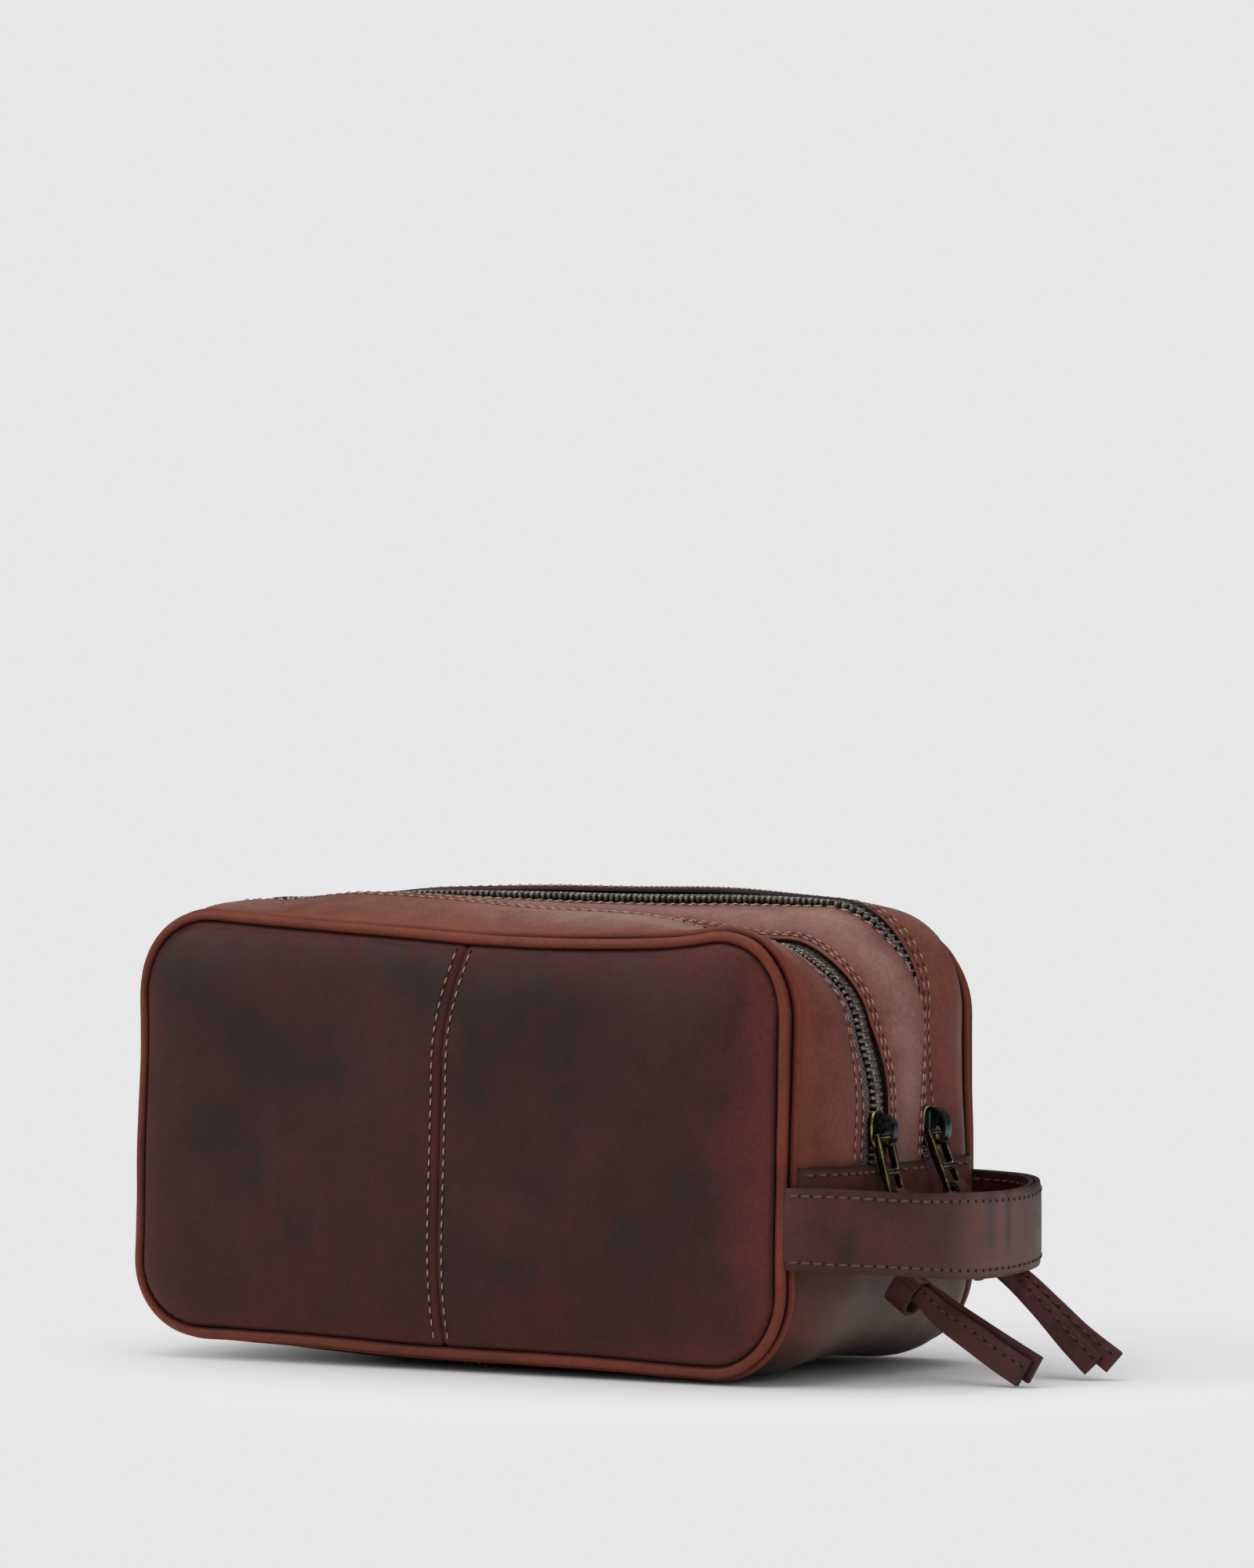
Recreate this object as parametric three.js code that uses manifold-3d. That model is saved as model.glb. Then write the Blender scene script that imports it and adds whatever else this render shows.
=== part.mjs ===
// A leather shaving kit bag with two zipped compartments, in millimetres, with +Z up.
// The origin is the middle of the underside of the base, on the surface that the bag stands on.
// +X points to the end with the carrying handle, and -Y is the front.
import * as THREE from "three";
import { mergeVertices } from "three/addons/utils/BufferGeometryUtils.js";
import Module from "manifold-3d";

const wasm = await Module();
wasm.setup();

// The outline of each face is a rounded rectangle, measured on the middle of its piping.
const seamHalf = 123;
const seamTop = 143.5;
const seamBottom = 6.5;
const seamFrontY = 62;
const topCornerRadius = 28;
const bottomCornerRadius = 25;
const clearance = 0.3;
const cutOverrun = 5;

// The flap of each compartment folds out at this height, and the base panels end a little above it.
const foldHeight = 66;
const basePanelLap = 3;
const basePanelTop = foldHeight + basePanelLap;
const centreSeamX = -2;

// Leather, lining and piping.
const leatherThickness = 2.2;
const liningThickness = 0.8;
const dividerThickness = 2.4;
const pipingRadius = 2.2;
const panelPuff = 4.8;
const panelPuffInset = 16;
const gussetEdgeBulge = 1.5;
const zipBulge = 10;

// The zips, one for each compartment, and what is left of leather beside them.
const zipY = 17.5;
const zipOpening = 16;
const zipFlatWidth = 10.5;
const rowGap = 1.6;
const rowWidth = 3.2;
const rowThickness = 3;
const rowDepth = 1.4;
const tapeThickness = 0.8;
const tapeUnderLeather = 7.5;

// The sliders, at rest a little above the lower right end of each zip.
const sliderLength = 14;
const sliderRise = 4.5;
const sliderHeight = basePanelTop + sliderLength / 2 + sliderRise;
const sliderWidth = 10.4;
const sliderPlate = 1.4;
const sliderPlateGap = 0.4;
const sliderWebWidth = 1;
const sliderWebLength = 6;
const bridgeWidth = 3.4;
const bridgeStrip = 1.2;
const bridgeRise = 5.6;
const bridgeLength = 10.5;

// The pull of each zip: a wire link, then a leather strip that is knotted and ends in two tails.
const linkLength = 22;
const linkWidth = 10.6;
const linkBar = 1.6;
const linkPivotRise = 2.2;
const linkPivotDrop = 1.8;
const pullThickness = 1.8;
const knotLength = 13;
const knotWidth = 10;
const knotDepth = 7;
const tailWidth = 9.6;
const tailThickness = 2.3;
const tailGap = 0.5;
const tailSplay = THREE.MathUtils.degToRad(4);
const tipHeight = 5;
const frontLinkTilt = THREE.MathUtils.degToRad(14);
const frontKnotOut = 11.4;
const frontKnotHeight = 29;
const frontTipOut = 55;
const rearLinkTilt = THREE.MathUtils.degToRad(21.5);
const rearKnotOut = 18.6;
const rearKnotHeight = 38;
const rearTipOut = 65;

// The carrying handle, two straps sewn together, with its ends in the side seams.
const handleBottom = 37.5;
const handleWidth = 26;
const handleReach = 45;
const handleStrap = 1.8;
const handlePower = 2.3;
const handleSteps = 20;

const cornerSteps = 6;
const roundSteps = 8;

const leather = (color) => ({ color, roughness: 0.55, metalness: 0 });
const finishes = {
  panel: leather("#4a2824"),
  gusset: leather("#6f3f34"),
  piping: leather("#7d4331"),
  strap: leather("#55302b"),
  lining: { color: "#4d4038", roughness: 0.95, metalness: 0 },
  tape: { color: "#241a17", roughness: 0.9, metalness: 0 },
  teeth: { color: "#4b4640", roughness: 0.4, metalness: 1 },
  brass: { color: "#6b5a35", roughness: 0.35, metalness: 1 },
};

const bag = new THREE.Group();

// Turns a three.js geometry into a solid, the right way out.
function solidOf(geometry) {
  const plain = geometry.clone();
  plain.deleteAttribute("normal");
  plain.deleteAttribute("uv");
  const merged = mergeVertices(plain, 1e-4);
  const vertProperties = new Float32Array(merged.attributes.position.array);
  const triVerts = new Uint32Array(merged.index.array);
  const made = new wasm.Manifold(new wasm.Mesh({ numProp: 3, vertProperties, triVerts }));
  if (made.volume() > 0) return made;
  for (let i = 0; i < triVerts.length; i += 3) {
    [triVerts[i + 1], triVerts[i + 2]] = [triVerts[i + 2], triVerts[i + 1]];
  }
  return new wasm.Manifold(new wasm.Mesh({ numProp: 3, vertProperties, triVerts }));
}

// Adds one solid to the bag as a named piece.
function addPiece(name, solid, finish) {
  const mesh = solid.getMesh();
  const geometry = new THREE.BufferGeometry();
  geometry.setAttribute("position", new THREE.BufferAttribute(mesh.vertProperties, 3));
  geometry.setIndex(new THREE.BufferAttribute(mesh.triVerts, 1));
  geometry.computeVertexNormals();
  const piece = new THREE.Mesh(geometry, new THREE.MeshStandardMaterial(finishes[finish]));
  piece.name = name;
  bag.add(piece);
}

// A closed surface through rows of points, each row a ring, with a flat cap on both ends.
function loftRings(rings) {
  const count = rings[0].length;
  const positions = rings.flat(2);
  const index = [];
  for (let r = 0; r + 1 < rings.length; r += 1) {
    for (let i = 0; i < count; i += 1) {
      const next = (i + 1) % count;
      const [a, b, c, d] = [r * count + i, r * count + next, (r + 1) * count + i, (r + 1) * count + next];
      index.push(a, b, d, a, d, c);
    }
  }
  capRing(rings[0], 0, true, index);
  capRing(rings[rings.length - 1], (rings.length - 1) * count, false, index);
  const geometry = new THREE.BufferGeometry();
  geometry.setAttribute("position", new THREE.Float32BufferAttribute(positions, 3));
  geometry.setIndex(index);
  return solidOf(geometry);
}

// Fills one ring with triangles. The ring is flat, so it is laid out in its own plane first.
function capRing(ring, first, reversed, index) {
  const points = ring.map((p) => new THREE.Vector3(...p));
  const normal = new THREE.Vector3();
  points.forEach((p, i) => {
    const q = points[(i + 1) % points.length];
    normal.add(new THREE.Vector3().crossVectors(p, q));
  });
  const turn = new THREE.Quaternion().setFromUnitVectors(normal.normalize(), new THREE.Vector3(0, 0, 1));
  const flat = points.map((p) => p.clone().applyQuaternion(turn)).map((p) => new THREE.Vector2(p.x, p.y));
  for (const [a, b, c] of THREE.ShapeUtils.triangulateShape(flat, [])) {
    if (reversed) index.push(first + a, first + c, first + b);
    else index.push(first + a, first + b, first + c);
  }
}

// Points on a quarter of an ellipse, from one angle to the next, in the XZ plane.
function quarter(centreX, centreZ, radiusX, radiusZ, from) {
  return Array.from({ length: cornerSteps + 1 }, (_, i) => {
    const angle = from + (i / cornerSteps) * (Math.PI / 2);
    return [centreX + radiusX * Math.cos(angle), centreZ + radiusZ * Math.sin(angle)];
  });
}

// The two upper corners of an outline that reaches half to each side and up to high.
function upperCorners(half, high) {
  const x = seamHalf - topCornerRadius;
  const z = seamTop - topCornerRadius;
  const right = quarter(x, z, half - x, high - z, 0);
  return right.concat(quarter(-x, z, half - x, high - z, Math.PI / 2));
}

// The two lower corners of an outline that reaches half to each side and down to low.
function lowerCorners(half, low) {
  const x = seamHalf - bottomCornerRadius;
  const z = seamBottom + bottomCornerRadius;
  const left = quarter(-x, z, half - x, z - low, Math.PI);
  return left.concat(quarter(x, z, half - x, z - low, 1.5 * Math.PI));
}

const fullOutline = (half, low, high) => upperCorners(half, high).concat(lowerCorners(half, low));

// A plate with the outline of a face, between two depths.
function facePlate(half, low, high, nearY, farY) {
  const ring = (y) => fullOutline(half, low, high).map(([x, z]) => [x, y, z]);
  return loftRings([ring(nearY), ring(farY)]);
}

// A block between two corners, for cuts.
function block(low, high) {
  const size = high.map((v, i) => v - low[i]);
  const made = new THREE.BoxGeometry(...size);
  made.translate(...high.map((v, i) => (v + low[i]) / 2));
  return solidOf(made);
}

// The part of a solid above or below a height, with the space between left free.
const reach = seamHalf + seamFrontY + handleReach;
const cutAbove = (solid, z) => solid.intersect(block([-reach, -reach, z], [reach, reach, reach]));
const cutBelow = (solid, z) => solid.intersect(block([-reach, -reach, -reach], [reach, reach, z]));
const cutRight = (solid, x) => solid.intersect(block([x, -reach, -reach], [reach, reach, reach]));
const cutLeft = (solid, x) => solid.intersect(block([-reach, -reach, -reach], [x, reach, reach]));

// A band over the top and down both ends, down to a height. Each point of its section has a place
// along Y, how far it bulges past the seam line, and how deep it lies under the outer surface.
function bandOver(section, downTo) {
  const rows = section.map(({ y, bulge, depth }) => {
    const half = seamHalf + bulge - depth;
    const corners = upperCorners(half, seamTop + bulge - depth);
    return [[half, downTo], ...corners, [-half, downTo]].map(([x, z]) => [x, y, z]);
  });
  return loftRings(rows[0].map((_, i) => rows.map((row) => row[i])));
}

// A band under the bottom and up both ends, up to a height. Each point of its section is as low as
// it says at the bottom.
function bandUnder(section, upTo) {
  const rows = section.map(({ y, bulge, depth, low }) => {
    const half = seamHalf + bulge - depth;
    return [[-half, upTo], ...lowerCorners(half, low), [half, upTo]].map(([x, z]) => [x, y, z]);
  });
  return loftRings(rows[0].map((_, i) => rows.map((row) => row[i])));
}

// The eight points round a piping cord, in the two directions of its section.
const pipingSection = (sign) =>
  Array.from({ length: roundSteps }, (_, i) => {
    const angle = ((i + 0.5) / roundSteps) * 2 * Math.PI;
    const bulge = pipingRadius * Math.sin(angle);
    const y = sign * seamFrontY + pipingRadius * Math.cos(angle);
    return { y, bulge: 0, depth: -bulge, low: seamBottom - bulge };
  });

function addPiping(side, sign) {
  const section = pipingSection(sign);
  addPiece(side + "_piping_upper", bandOver(section, foldHeight + clearance / 2), "piping");
  addPiece(side + "_piping_lower", bandUnder(section, foldHeight - clearance / 2), "piping");
}

// A face panel swells outwards from its edge in a smooth curve, and is as thick all over.
const panelInset = pipingRadius + clearance;
const panelRimY = seamFrontY + leatherThickness / 2;
const swellSteps = 4;

function panelSolid(sign) {
  const ring = (inset, y) => {
    const n = panelInset + inset;
    return fullOutline(seamHalf - n, seamBottom + n, seamTop - n).map(([x, z]) => [x, sign * y, z]);
  };
  const rings = [];
  for (let i = 0; i <= swellSteps; i += 1) {
    const share = i / swellSteps;
    rings.push(ring(panelPuffInset * share, panelRimY + panelPuff * Math.sin((share * Math.PI) / 2)));
  }
  const inner = rings.map((points) => points.map(([x, y, z]) => [x, y - sign * leatherThickness, z]));
  return loftRings(inner.reverse().concat(rings));
}

function addPanels(side, sign) {
  const whole = panelSolid(sign);
  const halves = {
    left: cutLeft(whole, centreSeamX - clearance / 2),
    right: cutRight(whole, centreSeamX + clearance / 2),
  };
  for (const [hand, half] of Object.entries(halves)) {
    const name = side + "_panel_" + hand;
    addPiece(name + "_upper", cutAbove(half, foldHeight + clearance / 2), "panel");
    addPiece(name + "_lower", cutBelow(half, foldHeight - clearance / 2), "panel");
  }
}

// Outer line of the leather between a face and its zip, from the piping to the zip's edge.
const gussetStart = seamFrontY - pipingRadius - clearance;
const gussetEnd = zipY + zipOpening / 2;
const gussetFlat = gussetEnd + zipFlatWidth;
const gussetWidth = gussetStart - gussetFlat;
const swellShares = [0, 0.25, 0.6];

function gussetLine() {
  const points = swellShares.map((share) => {
    const rise = Math.sin((share * Math.PI) / 2);
    return [gussetStart - gussetWidth * share, gussetEdgeBulge + (zipBulge - gussetEdgeBulge) * rise];
  });
  return points.concat([
    [gussetFlat, zipBulge],
    [gussetEnd, zipBulge],
  ]);
}

// A section of even thickness under an outer line. Under the bag, what bulges most lies lowest.
function underLine(line, sign, thickness) {
  const lowAt = (bulge) => seamBottom * (1 - bulge / zipBulge);
  const outer = line.map(([y, bulge]) => ({ y: sign * y, bulge, depth: 0, low: lowAt(bulge) }));
  const inner = outer.map((p) => ({ ...p, depth: thickness, low: p.low + thickness }));
  return outer.concat(inner.reverse());
}

function addGusset(side, sign) {
  const section = underLine(gussetLine(), sign, leatherThickness);
  addPiece(side + "_gusset", bandOver(section, basePanelTop + clearance), "gusset");
}

const centreBandHalf = zipY - zipOpening / 2;

function addCentreBand() {
  const line = [
    [centreBandHalf, zipBulge],
    [-centreBandHalf, zipBulge],
  ];
  const section = underLine(line, 1, leatherThickness);
  addPiece("centre_band", bandOver(section, basePanelTop + clearance), "gusset");
}

// The base is one band under the bag, up to the ends of the zips, in two halves with a middle seam.
function addBase() {
  const far = gussetLine().slice(0, swellShares.length + 1);
  const near = far.map(([y, bulge]) => [-y, bulge]).reverse();
  const whole = bandUnder(underLine(far.concat(near), 1, leatherThickness), basePanelTop);
  addPiece("base_panel_left", cutLeft(whole, centreSeamX - clearance / 2), "gusset");
  addPiece("base_panel_right", cutRight(whole, centreSeamX + clearance / 2), "gusset");
}

// A strip along a zip between two places on Y, at a depth under the leather's surface.
function zipStrip(fromY, toY, depth, thickness) {
  const line = [
    [fromY, zipBulge],
    [toY, zipBulge],
  ];
  const section = underLine(line, 1, thickness).map((p) => ({ ...p, depth: p.depth + depth }));
  return bandOver(section, basePanelTop + clearance);
}

function addZip(side, sign) {
  const rowInner = rowGap / 2;
  const rowOuter = rowInner + rowWidth;
  const tapeEdge = rowOuter + clearance;
  const tapeSewn = zipOpening / 2 + tapeUnderLeather;
  const tapeDepth = leatherThickness + clearance;
  for (const [part, way] of [["outer", sign], ["inner", -sign]]) {
    const at = (offset) => sign * zipY + way * offset;
    const row = zipStrip(at(rowInner), at(rowOuter), rowDepth, rowThickness);
    addPiece(side + "_zip_teeth_" + part, row, "teeth");
    const tape = zipStrip(at(tapeEdge), at(tapeSewn), tapeDepth, tapeThickness);
    addPiece(side + "_zip_tape_" + part, tape, "tape");
  }
}

// What the slider's plates lie on: the two faces of the rows of teeth at the right end.
const rowFaceX = seamHalf + zipBulge - rowDepth;
const rowBackX = rowFaceX - rowThickness;
const plateOuterX = rowFaceX + sliderPlateGap;
const plateTopX = plateOuterX + sliderPlate;
const plateInnerX = rowBackX - sliderPlateGap;

// A slider plate is an oblong with rounded ends, seen from outside.
function sliderPlateSolid(fromX, thickness) {
  const half = sliderWidth / 2;
  const straight = sliderLength / 2 - half;
  const shape = new THREE.Shape();
  shape.absarc(0, straight, half, 0, Math.PI, false);
  shape.absarc(0, -straight, half, Math.PI, 2 * Math.PI, false);
  const plate = new THREE.ExtrudeGeometry(shape, {
    depth: thickness,
    bevelEnabled: false,
    curveSegments: roundSteps,
  });
  plate.rotateX(Math.PI / 2);
  plate.rotateZ(Math.PI / 2);
  plate.translate(fromX, 0, 0);
  return solidOf(plate);
}

function sliderSolid() {
  const outer = sliderPlateSolid(plateOuterX, sliderPlate);
  const inner = sliderPlateSolid(plateInnerX - sliderPlate, sliderPlate);
  const half = [sliderWebWidth / 2, sliderWebLength / 2];
  const join = sliderPlate / 2;
  const web = block([plateInnerX - join, -half[0], -half[1]], [plateOuterX + join, half[0], half[1]]);
  return outer.add(inner).add(web);
}

// The bridge is a bent strip on the slider, with its feet along the zip.
function bridgeSolid() {
  const footX = plateTopX + clearance;
  const half = bridgeLength / 2;
  const shape = new THREE.Shape();
  shape.absellipse(0, 0, half, bridgeRise, 0, Math.PI, false, 0);
  shape.absellipse(0, 0, half - bridgeStrip, bridgeRise - bridgeStrip, Math.PI, 0, true, 0);
  const strip = new THREE.ExtrudeGeometry(shape, {
    depth: bridgeWidth,
    bevelEnabled: false,
    curveSegments: roundSteps * 2,
  });
  strip.translate(0, 0, -bridgeWidth / 2);
  strip.rotateZ(-Math.PI / 2);
  strip.rotateX(Math.PI / 2);
  strip.translate(footX, 0, 0);
  return solidOf(strip);
}

// The link hangs on the bridge by its upper bar. It is made upright and then tilted about that bar.
function linkSolid(tilt) {
  const half = linkWidth / 2;
  const top = linkBar / 2;
  const shape = new THREE.Shape();
  shape.moveTo(-half, top);
  shape.lineTo(-half, top - linkLength);
  shape.lineTo(half, top - linkLength);
  shape.lineTo(half, top);
  shape.closePath();
  const hole = new THREE.Path();
  hole.moveTo(linkBar - half, top - linkBar);
  hole.lineTo(half - linkBar, top - linkBar);
  hole.lineTo(half - linkBar, top + linkBar - linkLength);
  hole.lineTo(linkBar - half, top + linkBar - linkLength);
  hole.closePath();
  shape.holes.push(hole);
  const frame = new THREE.ExtrudeGeometry(shape, { depth: linkBar, bevelEnabled: false });
  frame.translate(0, 0, -linkBar / 2);
  frame.rotateX(Math.PI / 2);
  frame.rotateZ(Math.PI / 2);
  frame.rotateY(-tilt);
  return solidOf(frame);
}

// A straight strip in the XZ plane between two points, with its width across the line in that
// plane or along Y.
function strip(from, to, across, alongY, y) {
  const line = new THREE.Vector2(to[0] - from[0], to[1] - from[1]);
  const made = new THREE.BoxGeometry(across, alongY, line.length());
  made.rotateY(Math.atan2(line.x, line.y));
  made.translate((from[0] + to[0]) / 2, y, (from[1] + to[1]) / 2);
  return solidOf(made);
}

// A leather loop round the link's lower bar, the double strap down to the knot, and two tails.
function pullSolid(shape, bar) {
  const loopInner = linkBar / Math.SQRT2 + clearance;
  const loopOuter = loopInner + pullThickness;
  const loopWidth = linkWidth - 2 * linkBar - 2 * clearance;
  const disc = (radius, width) => {
    const made = new THREE.CylinderGeometry(radius, radius, width, roundSteps * 2);
    made.translate(bar[0], 0, bar[1]);
    return solidOf(made);
  };
  const knot = [plateTopX + shape.knotOut, shape.knotHeight];
  const tip = [plateTopX + shape.tipOut, tipHeight];
  const strap = strip(bar, knot, 2 * pullThickness, loopWidth, 0);
  const made = disc(loopOuter, loopWidth).add(strap).subtract(disc(loopInner, loopWidth + cutOverrun));
  const knotBall = new THREE.SphereGeometry(1, roundSteps * 2, roundSteps);
  knotBall.scale(knotLength / 2, knotDepth / 2, knotWidth / 2);
  knotBall.translate(knot[0], 0, knot[1]);
  const tails = [-1, 1].map((way) => tailSolid(knot, tip, way));
  return made.add(solidOf(knotBall)).add(tails[0]).add(tails[1]);
}

// The two tails lie side by side along Y and part a little towards their ends.
function tailSolid(knot, tip, way) {
  const line = new THREE.Vector2(tip[0] - knot[0], tip[1] - knot[1]);
  line.rotateAround(new THREE.Vector2(0, 0), ((1 - way) * tailSplay) / 2);
  const end = [knot[0] + line.x, knot[1] + line.y];
  return strip(knot, end, tailWidth, tailThickness, (way * (tailThickness + tailGap)) / 2);
}

function addPull(shape) {
  const { side, sign, linkTilt } = shape;
  const place = (solid) => solid.translate([0, sign * zipY, 0]);
  const lift = (solid) => place(solid.translate([0, 0, sliderHeight]));
  const pivot = [plateTopX + clearance + linkPivotRise, sliderHeight - linkPivotDrop];
  const hang = linkLength - linkBar;
  const bar = [pivot[0] + hang * Math.sin(linkTilt), pivot[1] - hang * Math.cos(linkTilt)];
  addPiece(side + "_slider", lift(sliderSolid()), "brass");
  addPiece(side + "_slider_bridge", lift(bridgeSolid()), "brass");
  addPiece(side + "_pull_link", place(linkSolid(linkTilt).translate([pivot[0], 0, pivot[1]])), "brass");
  addPiece(side + "_pull_strap", place(pullSolid(shape, bar)), "strap");
}

// The handle's line, seen from above: a full bow between the two side seams.
const handleStartX = seamHalf + pipingRadius + clearance;

function handleLine(offset) {
  const half = seamFrontY - offset;
  const bow = handleReach - offset;
  return Array.from({ length: handleSteps + 1 }, (_, i) => {
    const angle = (i / handleSteps - 0.5) * Math.PI;
    const round = (v) => Math.sign(v) * Math.abs(v) ** (2 / handlePower);
    return [handleStartX + bow * round(Math.cos(angle)), half * round(Math.sin(angle))];
  });
}

function handleSolid(offset) {
  const line = handleLine(offset).concat(handleLine(offset + handleStrap).reverse());
  const shape = new THREE.Shape(line.map(([x, y]) => new THREE.Vector2(x, y)));
  const strap = new THREE.ExtrudeGeometry(shape, { depth: handleWidth, bevelEnabled: false });
  strap.translate(0, 0, handleBottom);
  return solidOf(strap);
}

function addHandle() {
  addPiece("handle_outer_strap", handleSolid(0), "strap");
  addPiece("handle_inner_strap", handleSolid(handleStrap + clearance), "strap");
}

// The lining: an open tub in each compartment, a sheet behind each flap, and a wall between.
const liningY = seamFrontY - leatherThickness / 2 - clearance;
const dividerHalf = dividerThickness / 2;

function tubSolid(sign) {
  const wallY = dividerHalf + clearance;
  const plate = (wall, high) => {
    const n = panelInset + wall;
    const near = sign * (liningY - wall);
    return facePlate(seamHalf - n, seamBottom + n, high, near, sign * (wallY + wall));
  };
  const tub = plate(0, seamTop - panelInset).subtract(plate(liningThickness, seamTop - panelInset));
  return cutBelow(tub, foldHeight - clearance);
}

function flapLiningSolid(sign) {
  const n = panelInset;
  const near = sign * (liningY - liningThickness);
  const sheet = facePlate(seamHalf - n, seamBottom + n, seamTop - n, near, sign * liningY);
  return cutAbove(sheet, foldHeight + clearance);
}

function addDivider() {
  const depth = leatherThickness + clearance;
  const half = seamHalf + zipBulge - depth;
  const high = seamTop + zipBulge - depth;
  addPiece("divider_wall", facePlate(half, depth, high, -dividerHalf, dividerHalf), "lining");
}

for (const [side, sign] of [["front", -1], ["rear", 1]]) {
  addPanels(side, sign);
  addPiping(side, sign);
  addGusset(side, sign);
  addZip(side, sign);
  addPiece(side + "_compartment_lining", tubSolid(sign), "lining");
  addPiece(side + "_flap_lining", flapLiningSolid(sign), "lining");
}
addCentreBand();
addBase();
addDivider();
addHandle();
addPull({
  side: "front",
  sign: -1,
  linkTilt: frontLinkTilt,
  knotOut: frontKnotOut,
  knotHeight: frontKnotHeight,
  tipOut: frontTipOut,
});
addPull({
  side: "rear",
  sign: 1,
  linkTilt: rearLinkTilt,
  knotOut: rearKnotOut,
  knotHeight: rearKnotHeight,
  tipOut: rearTipOut,
});

export default bag;
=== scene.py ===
# %% [markdown]
# # A leather shaving kit bag, dressed over its imported frame
# The bag has two compartments, each with its own metal zip. Its leather is waxed, so it turns lighter
# where it bends and darker where hands touch it, and here its bends also carry a painted sheen. The solids
# of the frame say where each piece sits and how it moves. This lesson cuts, wraps and sews the leather,
# and then makes the metal and the thread.

# %% Load the frame
import math

import bmesh
import bpy
import numpy as np
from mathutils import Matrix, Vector


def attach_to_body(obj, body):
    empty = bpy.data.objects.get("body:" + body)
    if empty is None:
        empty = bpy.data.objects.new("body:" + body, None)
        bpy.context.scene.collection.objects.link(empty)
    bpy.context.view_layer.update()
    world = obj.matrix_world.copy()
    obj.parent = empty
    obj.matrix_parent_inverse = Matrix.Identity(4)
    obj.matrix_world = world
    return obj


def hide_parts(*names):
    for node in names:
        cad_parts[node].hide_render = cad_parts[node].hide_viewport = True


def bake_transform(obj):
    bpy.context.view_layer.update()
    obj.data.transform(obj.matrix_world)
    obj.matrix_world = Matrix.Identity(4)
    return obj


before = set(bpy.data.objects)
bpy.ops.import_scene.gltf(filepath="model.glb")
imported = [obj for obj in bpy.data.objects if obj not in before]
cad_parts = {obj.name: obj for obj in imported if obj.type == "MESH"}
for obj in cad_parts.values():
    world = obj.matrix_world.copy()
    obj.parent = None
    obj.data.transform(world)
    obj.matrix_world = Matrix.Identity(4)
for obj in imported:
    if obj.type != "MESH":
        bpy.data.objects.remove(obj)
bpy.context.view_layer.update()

MM = 0.001
QUARTER = math.pi / 2
SIDES = (("front", -1), ("rear", 1))

# %% [markdown]
# ## The camera
# The photograph was taken with a long lens from low down, 31 degrees round from the front towards the
# end with the handle. A long lens keeps the two ends of the bag nearly the same size.

# %% The camera
CAMERA_AZIMUTH, CAMERA_PITCH = math.radians(30.92), math.radians(0.15)
CAMERA_SIDE, CAMERA_DISTANCE, CAMERA_HEIGHT = 0.0247, 2.2, 0.1866
CAMERA_LENS, SENSOR_WIDTH = 150.7, 36


def make_camera():
    """Adds the camera at the place that the photograph was taken from."""
    flat = Vector((-math.sin(CAMERA_AZIMUTH), math.cos(CAMERA_AZIMUTH), 0))
    right = Vector((math.cos(CAMERA_AZIMUTH), math.sin(CAMERA_AZIMUTH), 0))
    place = right * CAMERA_SIDE - flat * CAMERA_DISTANCE + Vector((0, 0, CAMERA_HEIGHT))
    look = flat * math.cos(CAMERA_PITCH) + Vector((0, 0, math.sin(CAMERA_PITCH)))
    bpy.ops.object.camera_add(location=place, rotation=look.to_track_quat("-Z", "Y").to_euler())
    camera = bpy.context.object
    camera.name = "camera"
    camera.data.lens, camera.data.sensor_width = CAMERA_LENS, SENSOR_WIDTH
    camera.data.clip_end = 50
    bpy.context.scene.camera = camera


make_camera()

# %% [markdown]
# ## The seam line
# Both faces of the bag have the same outline, a rounded rectangle. Its length is measured in
# millimetres from the middle of the bottom, to the right, over the top and back. Every strip of leather
# is cut flat and then wrapped round this line, so one function gives its points and outward directions.

# %% The seam line
SEAM_HALF, SEAM_TOP, SEAM_BOTTOM, SEAM_Y = 123.0, 143.5, 6.5, 62.0
TOP_RADIUS, LOW_RADIUS = 28.0, 25.0
FLAT_TOP, FLAT_LOW = SEAM_HALF - TOP_RADIUS, SEAM_HALF - LOW_RADIUS
TOP_ARC_Z, LOW_ARC_Z = SEAM_TOP - TOP_RADIUS, SEAM_BOTTOM + LOW_RADIUS
S_LOW_RIGHT = FLAT_LOW
S_SIDE_RIGHT = S_LOW_RIGHT + LOW_RADIUS * QUARTER
S_TOP_RIGHT = S_SIDE_RIGHT + TOP_ARC_Z - LOW_ARC_Z
S_TOP = S_TOP_RIGHT + TOP_RADIUS * QUARTER
S_ALL = 2 * (S_TOP + FLAT_TOP)
S_LOW_LEFT = S_ALL - S_SIDE_RIGHT
print("the seam line is", round(S_ALL, 1), "mm long")


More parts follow.
